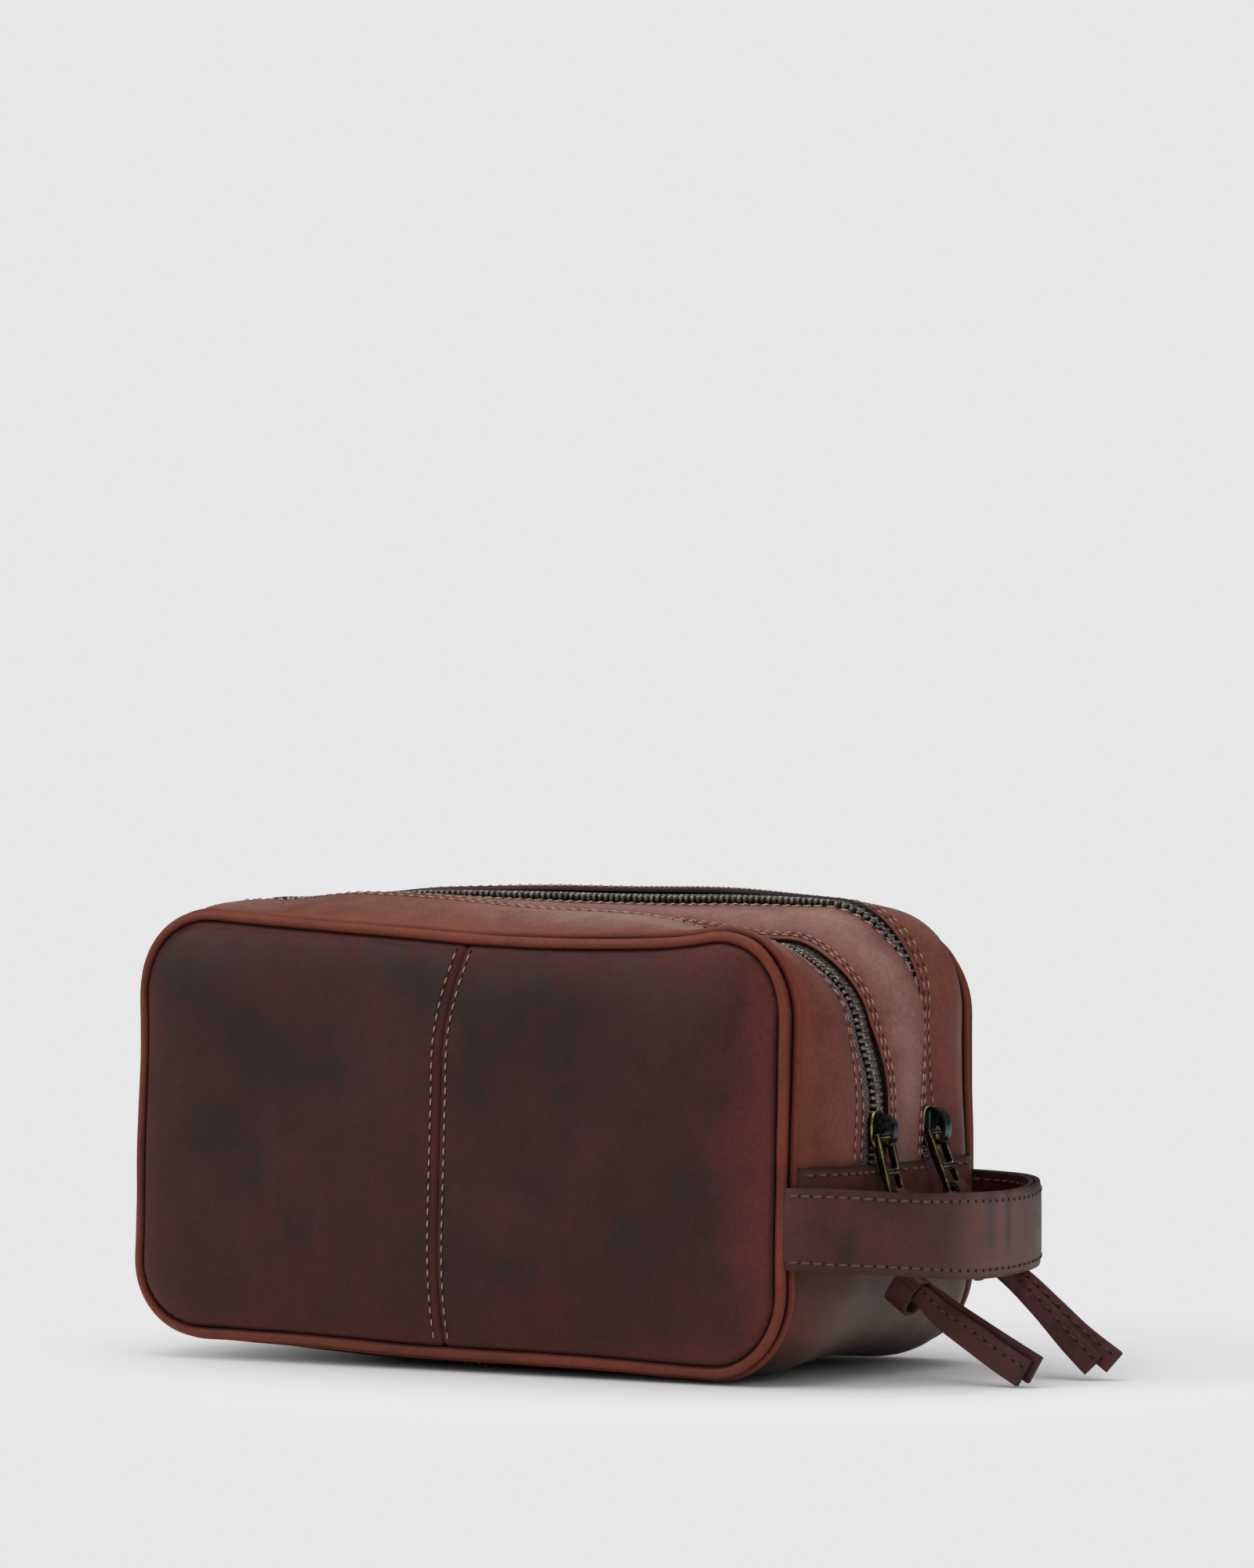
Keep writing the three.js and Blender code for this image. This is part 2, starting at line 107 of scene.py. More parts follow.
def seam_line(s):
    """Places and outward directions in the XZ plane. The left half mirrors the right one."""
    s = np.mod(np.asarray(s, float), S_ALL)
    side = np.where(s > S_ALL / 2, -1.0, 1.0)
    s = np.minimum(s, S_ALL - s)
    zero, one = np.zeros_like(s), np.ones_like(s)

    def arc(start, radius, x, z, first):
        turn = first + (s - start) / radius
        return x + radius * np.cos(turn), z + radius * np.sin(turn), np.cos(turn), np.sin(turn)

    parts = [
        (S_LOW_RIGHT, (s, zero + SEAM_BOTTOM, zero, -one)),
        (S_SIDE_RIGHT, arc(S_LOW_RIGHT, LOW_RADIUS, FLAT_LOW, LOW_ARC_Z, -QUARTER)),
        (S_TOP_RIGHT, (zero + SEAM_HALF, LOW_ARC_Z + s - S_SIDE_RIGHT, one, zero)),
        (S_TOP, arc(S_TOP_RIGHT, TOP_RADIUS, FLAT_TOP, TOP_ARC_Z, 0)),
        (S_ALL, (FLAT_TOP - s + S_TOP, zero + SEAM_TOP, zero, one)),
    ]
    tests = [s < end for end, _ in parts]
    x, z, nx, nz = (np.select(tests, [values[i] for _, values in parts]) for i in range(4))
    return x * side, z, nx * side, nz


# %% [markdown]
# ## How a soft bag stands
# A sewn bag is not a box. The leather between the seams swells outwards, the front sags between its
# corners, the left end lifts a little, and the corner at the front zip folds inwards. One table holds
# how far the leather stands out at each place, and smooth curves join its values.

# %% Curves
def unit(t):
    return np.clip(t, 0, 1)


def rise(x, start, length):
    """A share that goes gently from 0 at the start to 1 a length further. A negative length goes back."""
    t = unit((x - start) / length)
    return t * t * (3 - 2 * t)


def hump(x, middle, width):
    """A smooth hump of height 1, gone two widths from its middle."""
    return np.exp(-(((x - middle) / width) ** 2))


def fade(distance, length):
    """A share that starts at 1 and dies away over a length."""
    return np.exp(-distance / length)


def signed_power(v, power):
    return np.sign(v) * np.abs(v) ** power


def rows_of(*values):
    """Arrays of one length from arrays and numbers."""
    return np.broadcast_arrays(*(np.asarray(v, float) for v in values))


def stack(x, y, z):
    """Points from their three coordinates."""
    return np.stack(rows_of(x, y, z), axis=1)


def curve_through(xs, rows, x):
    """A smooth curve through values, or rows of values, at xs, read at x."""
    xs, rows = np.asarray(xs, float), np.asarray(rows, float)
    slopes = np.gradient(rows, xs, axis=0)
    x = np.clip(x, xs[0], xs[-1])
    i = np.clip(np.searchsorted(xs, x) - 1, 0, len(xs) - 2)
    width = xs[i + 1] - xs[i]
    t = (x - xs[i]) / width
    shape = (slice(None),) + (None,) * (rows.ndim - 1)
    t, width = t[shape], width[shape]
    bend = (t**3 - 2 * t**2 + t) * width * slopes[i] + (t**3 - t**2) * width * slopes[i + 1]
    return rows[i] * (2 * t**3 - 3 * t**2 + 1) + rows[i + 1] * (3 * t**2 - 2 * t**3) + bend


# %% The swell of the leather
PROFILE_Y = [0, 9.5, 17.5, 25.5, 36, 42, 48, 51, 54, 57, 60, 62]
PROFILE = [10.2, 10, 10, 10, 10, 9.2, 6.8, 5.1, 3.3, 2.0, 0.3, 0]
DENT_Y = [-62, -58, -42, -25.5, -17.5, -9.5, 0, 9.5, 17.5, 25.5, 42, 58, 62]
LEVEL = [0] * len(DENT_Y)
DENTS = {
    0: LEVEL,
    60: LEVEL,
    98: [0, 0, -2, -5, -6.2, -7, -7, -7, -6.2, -5.2, -3.4, -1, 0],
    118: [0, 0, -1, -2.6, -3.6, -4.4, -4.4, -4.2, -3.6, -2.2, 0.4, 0.8, 0.6],
    140: [0, 0.2, 0, 0, 0, 0, 0.3, 0.3, 0.2, 0.8, 2.2, 1.4, 1.2],
    175: [0, 0.4, 0, 0, 0, 0.2, 1, 1.8, -1.4, -2.8, 0.8, 1.0, 0.8],
    201: [0, 0.8, 0.5, 0, 0, 0.4, 1.6, 2.6, -3.4, -6, -1.8, -0.4, -0.2],
    221: [0, 1, -1.5, -5.8, -6.4, -4.8, -0.8, 1.6, -3.2, -5.2, -1.8, -0.8, -0.6],
    243: [0.6, 1.2, -9.2, -13, -13.6, -10.8, -5.4, -2.2, -3.8, -2.8, 0.4, 0, -0.6],
    265: [0, 0.6, -8, -11.4, -13, -9.8, -4.6, -1.4, 0.4, 0.9, -1, -1, 0],
    300: [0, 0.9, -2.1, -3.3, -6, -4.6, -1.2, 0.2, 2.6, 4.4, 1.6, 0.6, 0.2],
    360: [0, 0, -1.6, 0.6, -2.2, -2.0, -0.6, -0.4, 2, 4.5, 1.7, 0.9, 0.4],
    420: [0, -0.6, -1.8, 1.3, 0.6, 0.4, 0.4, 0, 1.6, 2.9, 1, 0.8, 0.6],
    455: [0.5, 0, -4.6, -3.0, -2.4, -2.2, -1.9, -1.6, -1.4, -1.1, 0, 0.9, 0.8],
    477: [3.2, 3.2, 2, 0.5, -0.5, -1, -1.2, -1, -0.8, -0.5, 0, 0.3, 0.4],
    499: [0.5, 0.8, 0.6, 0, 0, 0, 0, 0, 0, 0, 0, 0.2, 0.2],
    545: [0.9, 0.9, 0.6, 0, 0, 0, 0, 0, 0, 0, 0.4, 0.6, 0.5],
    583: [1.2, 1.4, 1, 0.5, 0.5, 0.5, 0.5, 0.5, 0.5, 0.5, 1, 1.2, 1.2],
    603: [3.6, 3.6, 2, 1, 1, 1, 1, 1, 1, 1, 2, 3, 3],
    622: [2.4, 2, 0.6, 0, 0, 0, 0, 0, 0, 0, 0.6, 1, 1],
    650: [0.4, 0.4, 0, 0, 0, 0, 0, 0, 0, 0, 0, 0.4, 0.4],
    S_ALL: LEVEL,
}
BEAD_Y = 58.5
TUCK, TUCK_Y, TUCK_WIDTH = 0.7, 55.9, 1.6
BASE_FLAT = SEAM_BOTTOM / 10


def swell(s, y):
    """How far the leather stands out past the seam line."""
    s, y = rows_of(np.mod(s, S_ALL), y)
    across = curve_through(list(DENTS), list(DENTS.values()), s)
    knots = np.array(DENT_Y, float)
    i = np.clip(np.searchsorted(knots, y) - 1, 0, len(knots) - 2)
    share = rise(y, knots[i], knots[i + 1] - knots[i])
    line = np.arange(len(s))
    dent = across[line, i] * (1 - share) + across[line, i + 1] * share
    tuck = TUCK * hump(np.abs(y), TUCK_Y, TUCK_WIDTH)
    ripple = 0.22 * np.sin(s / 19 + y / 13) + 0.16 * np.sin(s / 11 - y / 9 + 2)
    return curve_through(PROFILE_Y, PROFILE, np.abs(y)) + dent - tuck + ripple * rise(np.abs(y), 60, -20)


LEAN, LEAN_FROM = 0.02, 67
SAG_X = [-123, -95, -60, -27, 14, 52, 85, 105, 115, 123]
SAG = [2.6, 4.0, 2.0, 0, -2.7, -3.4, -2.2, 0.4, 1.3, 1.0]
LIFT_X = [-125, -95, -76, -51, -20, 10]
LIFT = [5.6, 4.9, 3.2, 1.7, 0.5, 0]
DROP_X = [20, 60, 90, 112, 125]
DROP = [0, 0.8, 1.9, 1.9, 0.8]
FLOOR_GAP = 0.05
# Each range is a start in mm and a length, for the function rise.
SAG_RANGE, LEAN_RANGE, DROP_RANGE, LIFT_END, DROP_END = (40, 95), (10, 40), (44, 14), (0, 70), (0, 60)


def settle(x, y, z):
    """Lets points lean, sag, drop and lift with the leather round them. Gives points in mm."""
    x, y, z = rows_of(x, y, z)
    down = curve_through(SAG_X, SAG, x) * rise(z, *SAG_RANGE) * (0.5 - y / (2 * SEAM_Y))
    drop = curve_through(DROP_X, DROP, x) * rise(-y, *DROP_RANGE) * (1 - rise(z, *DROP_END))
    up = curve_through(LIFT_X, LIFT, x) * (1 - rise(z, *LIFT_END)) - drop
    lean = LEAN * (z - LEAN_FROM) * rise(z, *LEAN_RANGE)
    return stack(x + lean, y, np.maximum(z + down + up, FLOOR_GAP))


def skin(s, y, out=0.0):
    """Points of the bag's surface, out mm outside it."""
    s, y = rows_of(s, y)
    px, pz, nx, nz = seam_line(s)
    far = swell(s, y) + out
    return settle(px + nx * far, y, pz + nz * far * np.where(nz < 0, BASE_FLAT, 1))


print("top of the bag at the rear zip:", skin([360.0], [17.5])[0].round(1))


# %% [markdown]
# ## Cutting and wrapping
# A strip of leather starts as a flat grid, as a strip is cut from a hide. Each of its points is then
# carried to its place on the bag. The sheet gets its thickness from a Solidify modifier, and the UV map
# of the flat cut stays on it.

# %% Making and shaping a mesh
def pick(piece=None):
    """Leaves edit mode and selects one piece only, or nothing."""
    if bpy.context.mode != "OBJECT":
        bpy.ops.object.mode_set(mode="OBJECT")
    bpy.ops.object.select_all(action="DESELECT")
    if piece:
        piece.select_set(True)
        bpy.context.view_layer.objects.active = piece


def add_mesh(name, maker, **settings):
    """Runs one of Blender's mesh makers and names what it adds."""
    pick()
    maker(**settings)
    bpy.context.object.name = name
    return bpy.context.object


def disc(name, vertices, radius=1):
    maker = bpy.ops.mesh.primitive_circle_add
    return add_mesh(name, maker, vertices=vertices, radius=radius, fill_type="NGON")


def freeze():
    """Puts the place, turn and scale of what is selected into its mesh."""
    bpy.ops.object.transform_apply(location=True, rotation=True, scale=True)


def points_of(piece):
    flat = np.empty(len(piece.data.vertices) * 3)
    piece.data.vertices.foreach_get("co", flat)
    return flat.reshape(-1, 3)


def set_points(piece, points):
    """Moves the points of a piece to places in mm."""
    piece.data.vertices.foreach_set("co", (points * MM).ravel())
    piece.data.update()


def cut_sheet(name, along, across):
    """A flat grid with a UV map. Its two shares, along and across, run from 0 to 1."""
    maker = bpy.ops.mesh.primitive_grid_add
    sheet = add_mesh(name, maker, x_subdivisions=along, y_subdivisions=across, size=1)
    sheet.data.name = name
    return sheet


def shares_of(sheet):
    """The two shares of each point, read from the UV map."""
    loops = sheet.data.uv_layers[0].data
    shares = np.zeros((len(sheet.data.vertices), 2))
    for loop in sheet.data.loops:
        shares[loop.vertex_index] = loops[loop.index].uv
    return shares.T


def wrap(sheet, where):
    """Moves each point of a flat sheet to where(along, across)."""
    flat = points_of(sheet) + 0.5
    set_points(sheet, where(flat[:, 0], flat[:, 1]))


def cut_away(piece, kind, unwanted):
    """Takes out the points or faces of a piece that unwanted says."""
    mesh = bmesh.new()
    mesh.from_mesh(piece.data)
    parts = mesh.verts if kind == "VERTS" else mesh.faces
    bmesh.ops.delete(mesh, geom=[part for part in parts if unwanted(part)], context=kind)
    mesh.to_mesh(piece.data)
    mesh.free()


def edit(piece, *steps):
    """Runs steps in edit mode on one piece with everything selected."""
    pick(piece)
    bpy.ops.object.mode_set(mode="EDIT")
    bpy.ops.mesh.select_all(action="SELECT")
    for step in steps:
        step()
    bpy.ops.object.mode_set(mode="OBJECT")


def face_outwards():
    bpy.ops.mesh.normals_make_consistent(inside=False)


def close_up(piece, gap=0.05):
    """Merges points that meet and turns the faces outwards."""
    edit(piece, lambda: bpy.ops.mesh.remove_doubles(threshold=gap * MM), face_outwards)


def apply(piece, kind, **settings):
    """Adds a modifier with its settings and applies it."""
    pick(piece)
    modifier = piece.modifiers.new(kind, kind)
    for name, value in settings.items():
        setattr(modifier, name, value)
    bpy.ops.object.modifier_apply(modifier=modifier.name)


def bevel(piece, width, degrees, segments=2, **settings):
    limit = {"limit_method": "ANGLE", "angle_limit": math.radians(degrees)}
    apply(piece, "BEVEL", width=width * MM, segments=segments, **limit, **settings)


def shade(piece, degrees=40):
    pick(piece)
    bpy.ops.object.shade_smooth_by_angle(angle=math.radians(degrees))


# %% Dressing a mesh
def dress(piece, *materials):
    piece.data.materials.clear()
    for material in materials:
        piece.data.materials.append(material)


def mark(piece, **values):
    """Keeps values for each point of the mesh, for the materials."""
    for name, value in values.items():
        attribute = piece.data.attributes.new(name, "FLOAT", "POINT")
        attribute.data.foreach_set("value", np.asarray(value, np.float32))


def attach(piece, slot, holder, *nodes):
    """Parents a piece to its body, or bakes its transform when it is given a bend, and hides the solids
    that it stands for. The slot is not used.
    """
    if isinstance(holder, str):
        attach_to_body(piece, holder)
    else:
        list(holder)
        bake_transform(piece)
    if nodes:
        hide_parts(*nodes)


def finish_sheet(sheet, goods, holder, *nodes, flip=False, offset=-1.0):
    """Gives a sheet its thickness, its materials and its place. Cut edges take the second material."""
    slot, thickness, soften, *materials = goods
    if flip:
        edit(sheet, bpy.ops.mesh.flip_normals)
    dress(sheet, *materials)
    apply(
        sheet, "SOLIDIFY", thickness=thickness * MM, offset=offset, use_even_offset=True,
        material_offset_rim=len(materials) - 1,
    )
    if soften:
        bevel(sheet, soften, 50)
    shade(sheet)
    attach(sheet, slot, holder, *nodes)


# %% [markdown]
# ## Where the leather bends
# When a compartment opens, its face and gusset fold outwards and the leather bends over a broad curve.
# Every soft piece of one side is handed the same bend line, though the script does not apply it. The
# line runs obliquely, because the gusset stays sewn to the base at the end of its zip.

# %% Where the leather bends
BEND_FROM_Y, BEND_FROM_Z = 25.5, 69
BEND_LENGTH = 32
BEND_LEAN = math.radians(24)
BENDS = {}
for side, sign in SIDES:
    start = Vector((0, sign * BEND_FROM_Y, BEND_FROM_Z)) * MM
    way = Vector((0, sign * math.sin(BEND_LEAN), math.cos(BEND_LEAN))) * BEND_LENGTH * MM
    BENDS[side] = ("root", side + "_flap", tuple(start), tuple(start + way))
print("sides that bend:", *BENDS)

# %% [markdown]
# ## Leather as a shader
# Waxed leather is a patchwork of dark and redder clouds with fine pores, and it is rubbed lighter on
# bends and edges, where a painted sheen lightens it too. One node group makes its colour, roughness and
# height for every leather piece, and each material gives it its own three colours. The rubbed and sheen
# places come from a value on the mesh, and so do painted shade and painted highlights.

# %% Helpers for node trees
def srgb(code):
    """A colour as it is seen, from its code, as the linear colour that a shader wants."""
    values = [int(code[i : i + 2], 16) / 255 for i in (1, 3, 5)]
    return tuple(v / 12.92 if v <= 0.04045 else ((v + 0.055) / 1.055) ** 2.4 for v in values) + (1,)


class Tree:
    """Short names for making and joining nodes in one tree."""

    def __init__(self, tree):
        self.tree = tree
        tree.nodes.clear()

    def add(self, kind, inputs, out=0, **settings):
        """Makes a node and gives one of its outputs, or all of them when out is None."""
        node = self.tree.nodes.new("ShaderNode" + kind)
        for name, value in settings.items():
            setattr(node, name, value)
        for key, value in inputs.items():
            if isinstance(value, bpy.types.NodeSocket):
                self.tree.links.new(value, node.inputs[key])
            else:
                node.inputs[key].default_value = value
        return node.outputs if out is None else node.outputs[out]

    def place(self):
        return self.add("TexCoord", {}, 3)

    def on_mesh(self, name):
        return self.add("Attribute", {}, 2, attribute_name=name)

    def math(self, operation, a, b, clamp=False):
        return self.add("Math", {0: a, 1: b}, operation=operation, use_clamp=clamp)

    def times(self, a, b):
        return self.math("MULTIPLY", a, b)

    def plus(self, total, *values):
        for value in values:
            total = self.math("ADD", total, value)
        return total

    def noise(self, vector, scale, detail=4, rough=0.55, distort=0.0):
        inputs = {"Vector": vector, "Scale": scale, "Detail": detail, "Roughness": rough}
        return self.add("TexNoise", inputs | {"Distortion": distort})

    def ramp(self, value, low, high, a=0.0, b=1.0):
        ends = {"Value": value, "From Min": low, "From Max": high, "To Min": a, "To Max": b}
        return self.add("MapRange", ends, interpolation_type="SMOOTHSTEP")

    def mix(self, share, a, b, blend="MIX"):
        inputs = {"Factor": share, 6: a, 7: b}
        return self.add("Mix", inputs, 2, data_type="RGBA", blend_type=blend, clamp_factor=True)

    def principled(self, color, rough, height=None, bump=0.0, depth=0.0, **inputs):
        """Ends a material in a Principled shader whose height is bump strong and depth mm deep."""
        inputs |= {"Base Color": color, "Roughness": rough}
        if height:
            relief = {"Height": height, "Strength": bump, "Distance": depth * MM}
            inputs["Normal"] = self.add("Bump", relief)
        self.end(self.add("BsdfPrincipled", inputs))

    def end(self, shader, kind="Material"):
        self.add("Output" + kind, {"Surface": shader}, None)


def new_material(name):
    material = bpy.data.materials.new(name)
    material.use_nodes = True
    return material, Tree(material.node_tree)


def new_group(name, colors, numbers, build):
    """A node group with colours and numbers in. A colour, a roughness and a height come out."""
    group = bpy.data.node_groups.new(name, "ShaderNodeTree")
    sockets = (("INPUT", colors, "Color"), ("INPUT", numbers, "Float"))
    sockets += (("OUTPUT", ["Color"], "Color"), ("OUTPUT", ["Roughness", "Height"], "Float"))
    for way, titles, kind in sockets:
        for title in titles:
            group.interface.new_socket(title, in_out=way, socket_type="NodeSocket" + kind)
    tree = Tree(group)
    given = group.nodes.new("NodeGroupInput").outputs
    end = group.nodes.new("NodeGroupOutput").inputs
    for title, value in build(tree, given).items():
        group.links.new(value, end[title])
    return group


# %% The waxed leather group
def leather_look(t, given):
    seed = t.add("CombineXYZ", {i: given["Seed"] for i in range(3)})
    where = t.add("VectorMath", {0: t.place(), 1: seed}, operation="ADD")
    drawn = t.add("Mapping", {"Vector": where, "Scale": (1, 1, 0.22), "Rotation": (0, 0.35, 0)})
    clouds, patches = t.noise(where, 17, 3, 0.5, 0.6), t.noise(where, 60, 5, 0.62, 0.4)
    streaks, specks = t.noise(drawn, 150, 4, 0.6), t.noise(where, 700, 3, 0.6)
    layers = ((clouds, given["Cloud"]), (patches, 1.5), (streaks, 0.6))
    mottle = t.plus(*(t.times(t.math("SUBTRACT", layer, 0.5), much) for layer, much in layers))
    ground = t.mix(t.math("ADD", mottle, 0.5, True), given["Dark"], given["Middle"])
    # The share of rubbed leather and painted sheen, broken up by the patches.
    rub = t.math("MULTIPLY", given["Rub_and_sheen"], t.ramp(patches, 0.2, 0.7, 0.55, 1.0), True)
    fine = t.ramp(specks, 0.3, 0.7, 0.86, 1.1)
    grey = t.add("CombineColor", {i: fine for i in range(3)})
    pores = {"Vector": where, "Scale": 1100, "Smoothness": 0.4}
    reliefs = (
        (t.add("TexVoronoi", pores, feature="SMOOTH_F1"), 0.5),
        (t.noise(where, 1500, 3, 0.6), 0.35),
        (t.noise(where, 240, 4, 0.65, 1.2), 0.9),
    )
    return {
        "Color": t.mix(1.0, t.mix(rub, ground, given["Rubbed_and_sheen"]), grey, "MULTIPLY"),
        "Roughness": t.plus(t.ramp(patches, 0.3, 0.7, 0.38, 0.55), t.times(specks, 0.08)),
        "Height": t.plus(*(t.times(relief, much) for relief, much in reliefs)),
    }


LEATHER = new_group("waxed_leather", ["Dark", "Middle", "Rubbed_and_sheen"], ["Rub_and_sheen", "Cloud", "Seed"], leather_look)
# Tints over the leather: painted shade, a red tint that also makes the painted highlight beside the seam
# rolls, and stains.
TINTS = {"shade": "#120b0a", "red_tint_and_highlight": "#8f4529", "stain": "#2b2833"}
GRAIN_DEPTH = 0.25


def leather(name, dark, middle, rubbed, cloud, seed, bump, gloss=0.35):
    """A waxed leather of three colours. The mesh says where it is rubbed lighter and where a painted sheen
    lies, where painted shade darkens it, where it is redder and where a painted highlight lies, and where
    it is stained.
    """
    material, t = new_material(name)
    inputs = {"Dark": srgb(dark), "Middle": srgb(middle), "Rubbed_and_sheen": srgb(rubbed)}
    inputs |= {"Cloud": cloud, "Seed": seed, "Rub_and_sheen": t.on_mesh("rub")}
    made = t.add("Group", inputs, None, node_tree=LEATHER)
    color = made["Color"]
    for title, tint in TINTS.items():
        color = t.mix(t.on_mesh(title), color, srgb(tint))
    shine = {"Specular IOR Level": gloss}
    t.principled(color, made["Roughness"], made["Height"], bump, GRAIN_DEPTH, **shine)
    return material


FACE = leather("face_leather", "#231615", "#431b17", "#6b2f25", 1.8, 0.3, 0.1, 0.2)
GUSSET = leather("gusset_leather", "#55281f", "#7a3e30", "#9c8075", 1.4, 1.7, 0.16, 0.2)
CUT_EDGE = leather("cut_edge", "#150f0e", "#2a1d1b", "#4a3834", 1.5, 7.7, 0.3)
PIPING = leather("piping_leather", "#4c1f15", "#6b2f20", "#87432e", 1.4, 2.9, 0.12, 0.2)
print("leathers made")

# %% [markdown]
# ## The faces
# Each face is two panels sewn together down the middle. It is a flat sheet whose rim turns down into the
# seam beside the piping, and it swells outwards like a cushion. A grid cut to the outline keeps its
# squares even, so the leather catches the light without creases.

# %% The shape of a face
FACE_GAP, FACE_STEP = 0.9, 1.5
PUFF, PUFF_LENGTH = 4.2, 11
RIM_ROLL, RIM_LENGTH = 2.9, 0.8
SEAM_X = -2.0
MIDDLE_Z = [0, 26, 64, 90, 113, 126, 138, 150]
MIDDLE_X = [-2.6, -2.9, -2.7, -2.5, -2.0, 0.6, 3.8, 6.0]
SEAM_DIP, SEAM_DIP_WIDTH = 1.5, 1.3
FACE_GOODS = ("face_leather", 1.6, 0.0, FACE)


def middle_seam(z, side):
    """The middle seam, which wanders a little on the front."""
    return curve_through(MIDDLE_Z, MIDDLE_X, z) if side == "front" else np.full_like(z, SEAM_X)


def corner_at(x, z):
    """The circle of the corner nearest to a point of the face, and whether it rounds the rim there."""
    low = z < LOW_ARC_Z
    centre_x, radius = np.where(low, FLAT_LOW, FLAT_TOP), np.where(low, LOW_RADIUS, TOP_RADIUS)
    centre_z = np.clip(z, LOW_ARC_Z, TOP_ARC_Z)
    return centre_x, centre_z, radius, (np.abs(x) > centre_x) & (z != centre_z)


def rim_distance(x, z):
    """How far a point of the face lies inside the seam line."""
    centre_x, centre_z, radius, corner = corner_at(x, z)
    flat_gap = np.minimum(SEAM_HALF - np.abs(x), np.minimum(SEAM_TOP - z, z - SEAM_BOTTOM))
    return np.where(corner, radius - np.hypot(np.abs(x) - centre_x, z - centre_z), flat_gap)


def nearest_on_seam(x, z):
    """The length along the seam line of the place nearest to a point of the face."""
    far_x = np.abs(x)
    centre_x, centre_z, radius, corner = corner_at(x, z)
    turn = np.arctan2(z - centre_z, far_x - centre_x)
    round_s = np.where(z < LOW_ARC_Z, S_SIDE_RIGHT, S_TOP_RIGHT) + turn * radius
    gaps = [SEAM_HALF - far_x, SEAM_TOP - z, z - SEAM_BOTTOM]
    sides = [S_SIDE_RIGHT + z - LOW_ARC_Z, S_TOP + FLAT_TOP - far_x, far_x]
    s = np.where(corner, round_s, np.choose(np.argmin(gaps, axis=0), sides))
    return np.where(x < 0, S_ALL - s, s)


def on_face(x, z, side, sign, out=0.0):
    """Points of the face. Its rim follows the seam where that stands out at the corners."""
    gap = rim_distance(x, z)
    inside = np.maximum(gap - 1.0, 0)
    roll = RIM_ROLL * (1 - fade(inside, RIM_LENGTH)) + PUFF * (1 - fade(inside, PUFF_LENGTH))
    dip = SEAM_DIP * hump(x, middle_seam(z, side), SEAM_DIP_WIDTH)
    sag = 0.5 * np.sin(x / 31 + z / 23) + 0.3 * np.sin(x / 17 - z / 19 + 1)
    depth = roll - dip - 0.4 + sag * rise(inside, 0, 25)
    s = nearest_on_seam(x, z)
    push = swell(s, sign * SEAM_Y) * fade(np.maximum(gap, 0), 12)
    nx, nz = seam_line(s)[2:]
    return settle(x + nx * push, sign * (SEAM_Y + depth + out), z + nz * push)


# %% The faces
def face_sheet(name, side, sign, hand):
    """Half of a face, from its middle seam to its rim."""
    columns = math.ceil(SEAM_HALF / FACE_STEP)
    sheet = cut_sheet(name, columns, math.ceil((SEAM_TOP - SEAM_BOTTOM) / FACE_STEP))
    flat = points_of(sheet) + 0.5
    z = SEAM_BOTTOM + flat[:, 1] * (SEAM_TOP - SEAM_BOTTOM)
    seam = middle_seam(z, side)
    start, end = (-SEAM_HALF, seam) if hand == "left" else (seam, SEAM_HALF)
    x = start + flat[:, 0] * (end - start)
    gap = rim_distance(x, z)
    centre_x, centre_z, radius, corner = corner_at(x, z)
    dx, dz = x - np.copysign(centre_x, x), z - centre_z
    pull = 1 - (radius - FACE_GAP) / np.maximum(np.hypot(dx, dz), FACE_GAP)
    half = SEAM_HALF - FACE_GAP
    new_x = np.where(corner, x - dx * pull, np.clip(x, -half, half))
    new_z = np.where(corner, z - dz * pull, np.clip(z, SEAM_BOTTOM + FACE_GAP, SEAM_TOP - FACE_GAP))
    outer = gap < FACE_GAP
    set_points(sheet, stack(np.where(outer, new_x, x), 0, np.where(outer, new_z, z)) / MM)
    cut_away(sheet, "VERTS", lambda v: gap[v.index] < FACE_GAP - FACE_STEP * 0.8)
    x, z = points_of(sheet)[:, [0, 2]].T
    set_points(sheet, on_face(x, z, side, sign))
    gap, seam = rim_distance(x, z), middle_seam(z, side)
    # The rim is rubbed lighter and carries a painted highlight that grows wider and stronger to the right,
    # the middle seam is rubbed lighter, and painted shade lies in the groove at the rim and down the seam.
    right = 0.45 * rise(x, 60, 60)
    rim_wear_and_highlight = (0.35 + right) * fade(np.maximum(gap - 2, 0), 5 + 14 * right)
    dark_rim = unit(0.98 * fade(np.maximum(gap - 1.5, 0), 0.55))
    rub, seam_groove_shade = 0.8 * hump(x, seam, 1.6), 0.75 * hump(x, seam, 0.45)
    mark(sheet, rub=rim_wear_and_highlight + rub, shade=dark_rim + seam_groove_shade)
    nodes = [f"{side}_panel_{hand}_upper", f"{side}_panel_{hand}_lower"]
    finish_sheet(sheet, FACE_GOODS, BENDS[side], *nodes, flip=sign > 0)
    print(name, len(sheet.data.polygons), "faces")


for side, sign in SIDES:
    for hand in ("left", "right"):
        face_sheet(f"{side}_face_{hand}", side, sign, hand)

# %% [markdown]
# ## The piping
# A cord covered in leather runs in the seam between each face and its gusset. Behind it the gusset's own
# edge is turned over a second cord, so two rolls lie side by side with a groove between them that painted
# shade darkens. Each is a circle carried round the seam line, rubbed lighter with a painted highlight
# where it stands out furthest, with painted shade on its far side.

# %% The piping
# Each roll: its name, its middle, where its level is read, its radius, how far out it lies, at how many
# degrees it is rubbed and carries a painted highlight, and how much of it is darkened by painted shade.
ROLLS = (
    ("piping", 62.2, SEAM_Y, 2.0, 0.3, 35, 0.0),
    ("edge_roll", BEAD_Y, BEAD_Y, 1.65, 0.75, 75, 0.4),
)
ROLL_STEPS, ROLL_RING = 300, 10


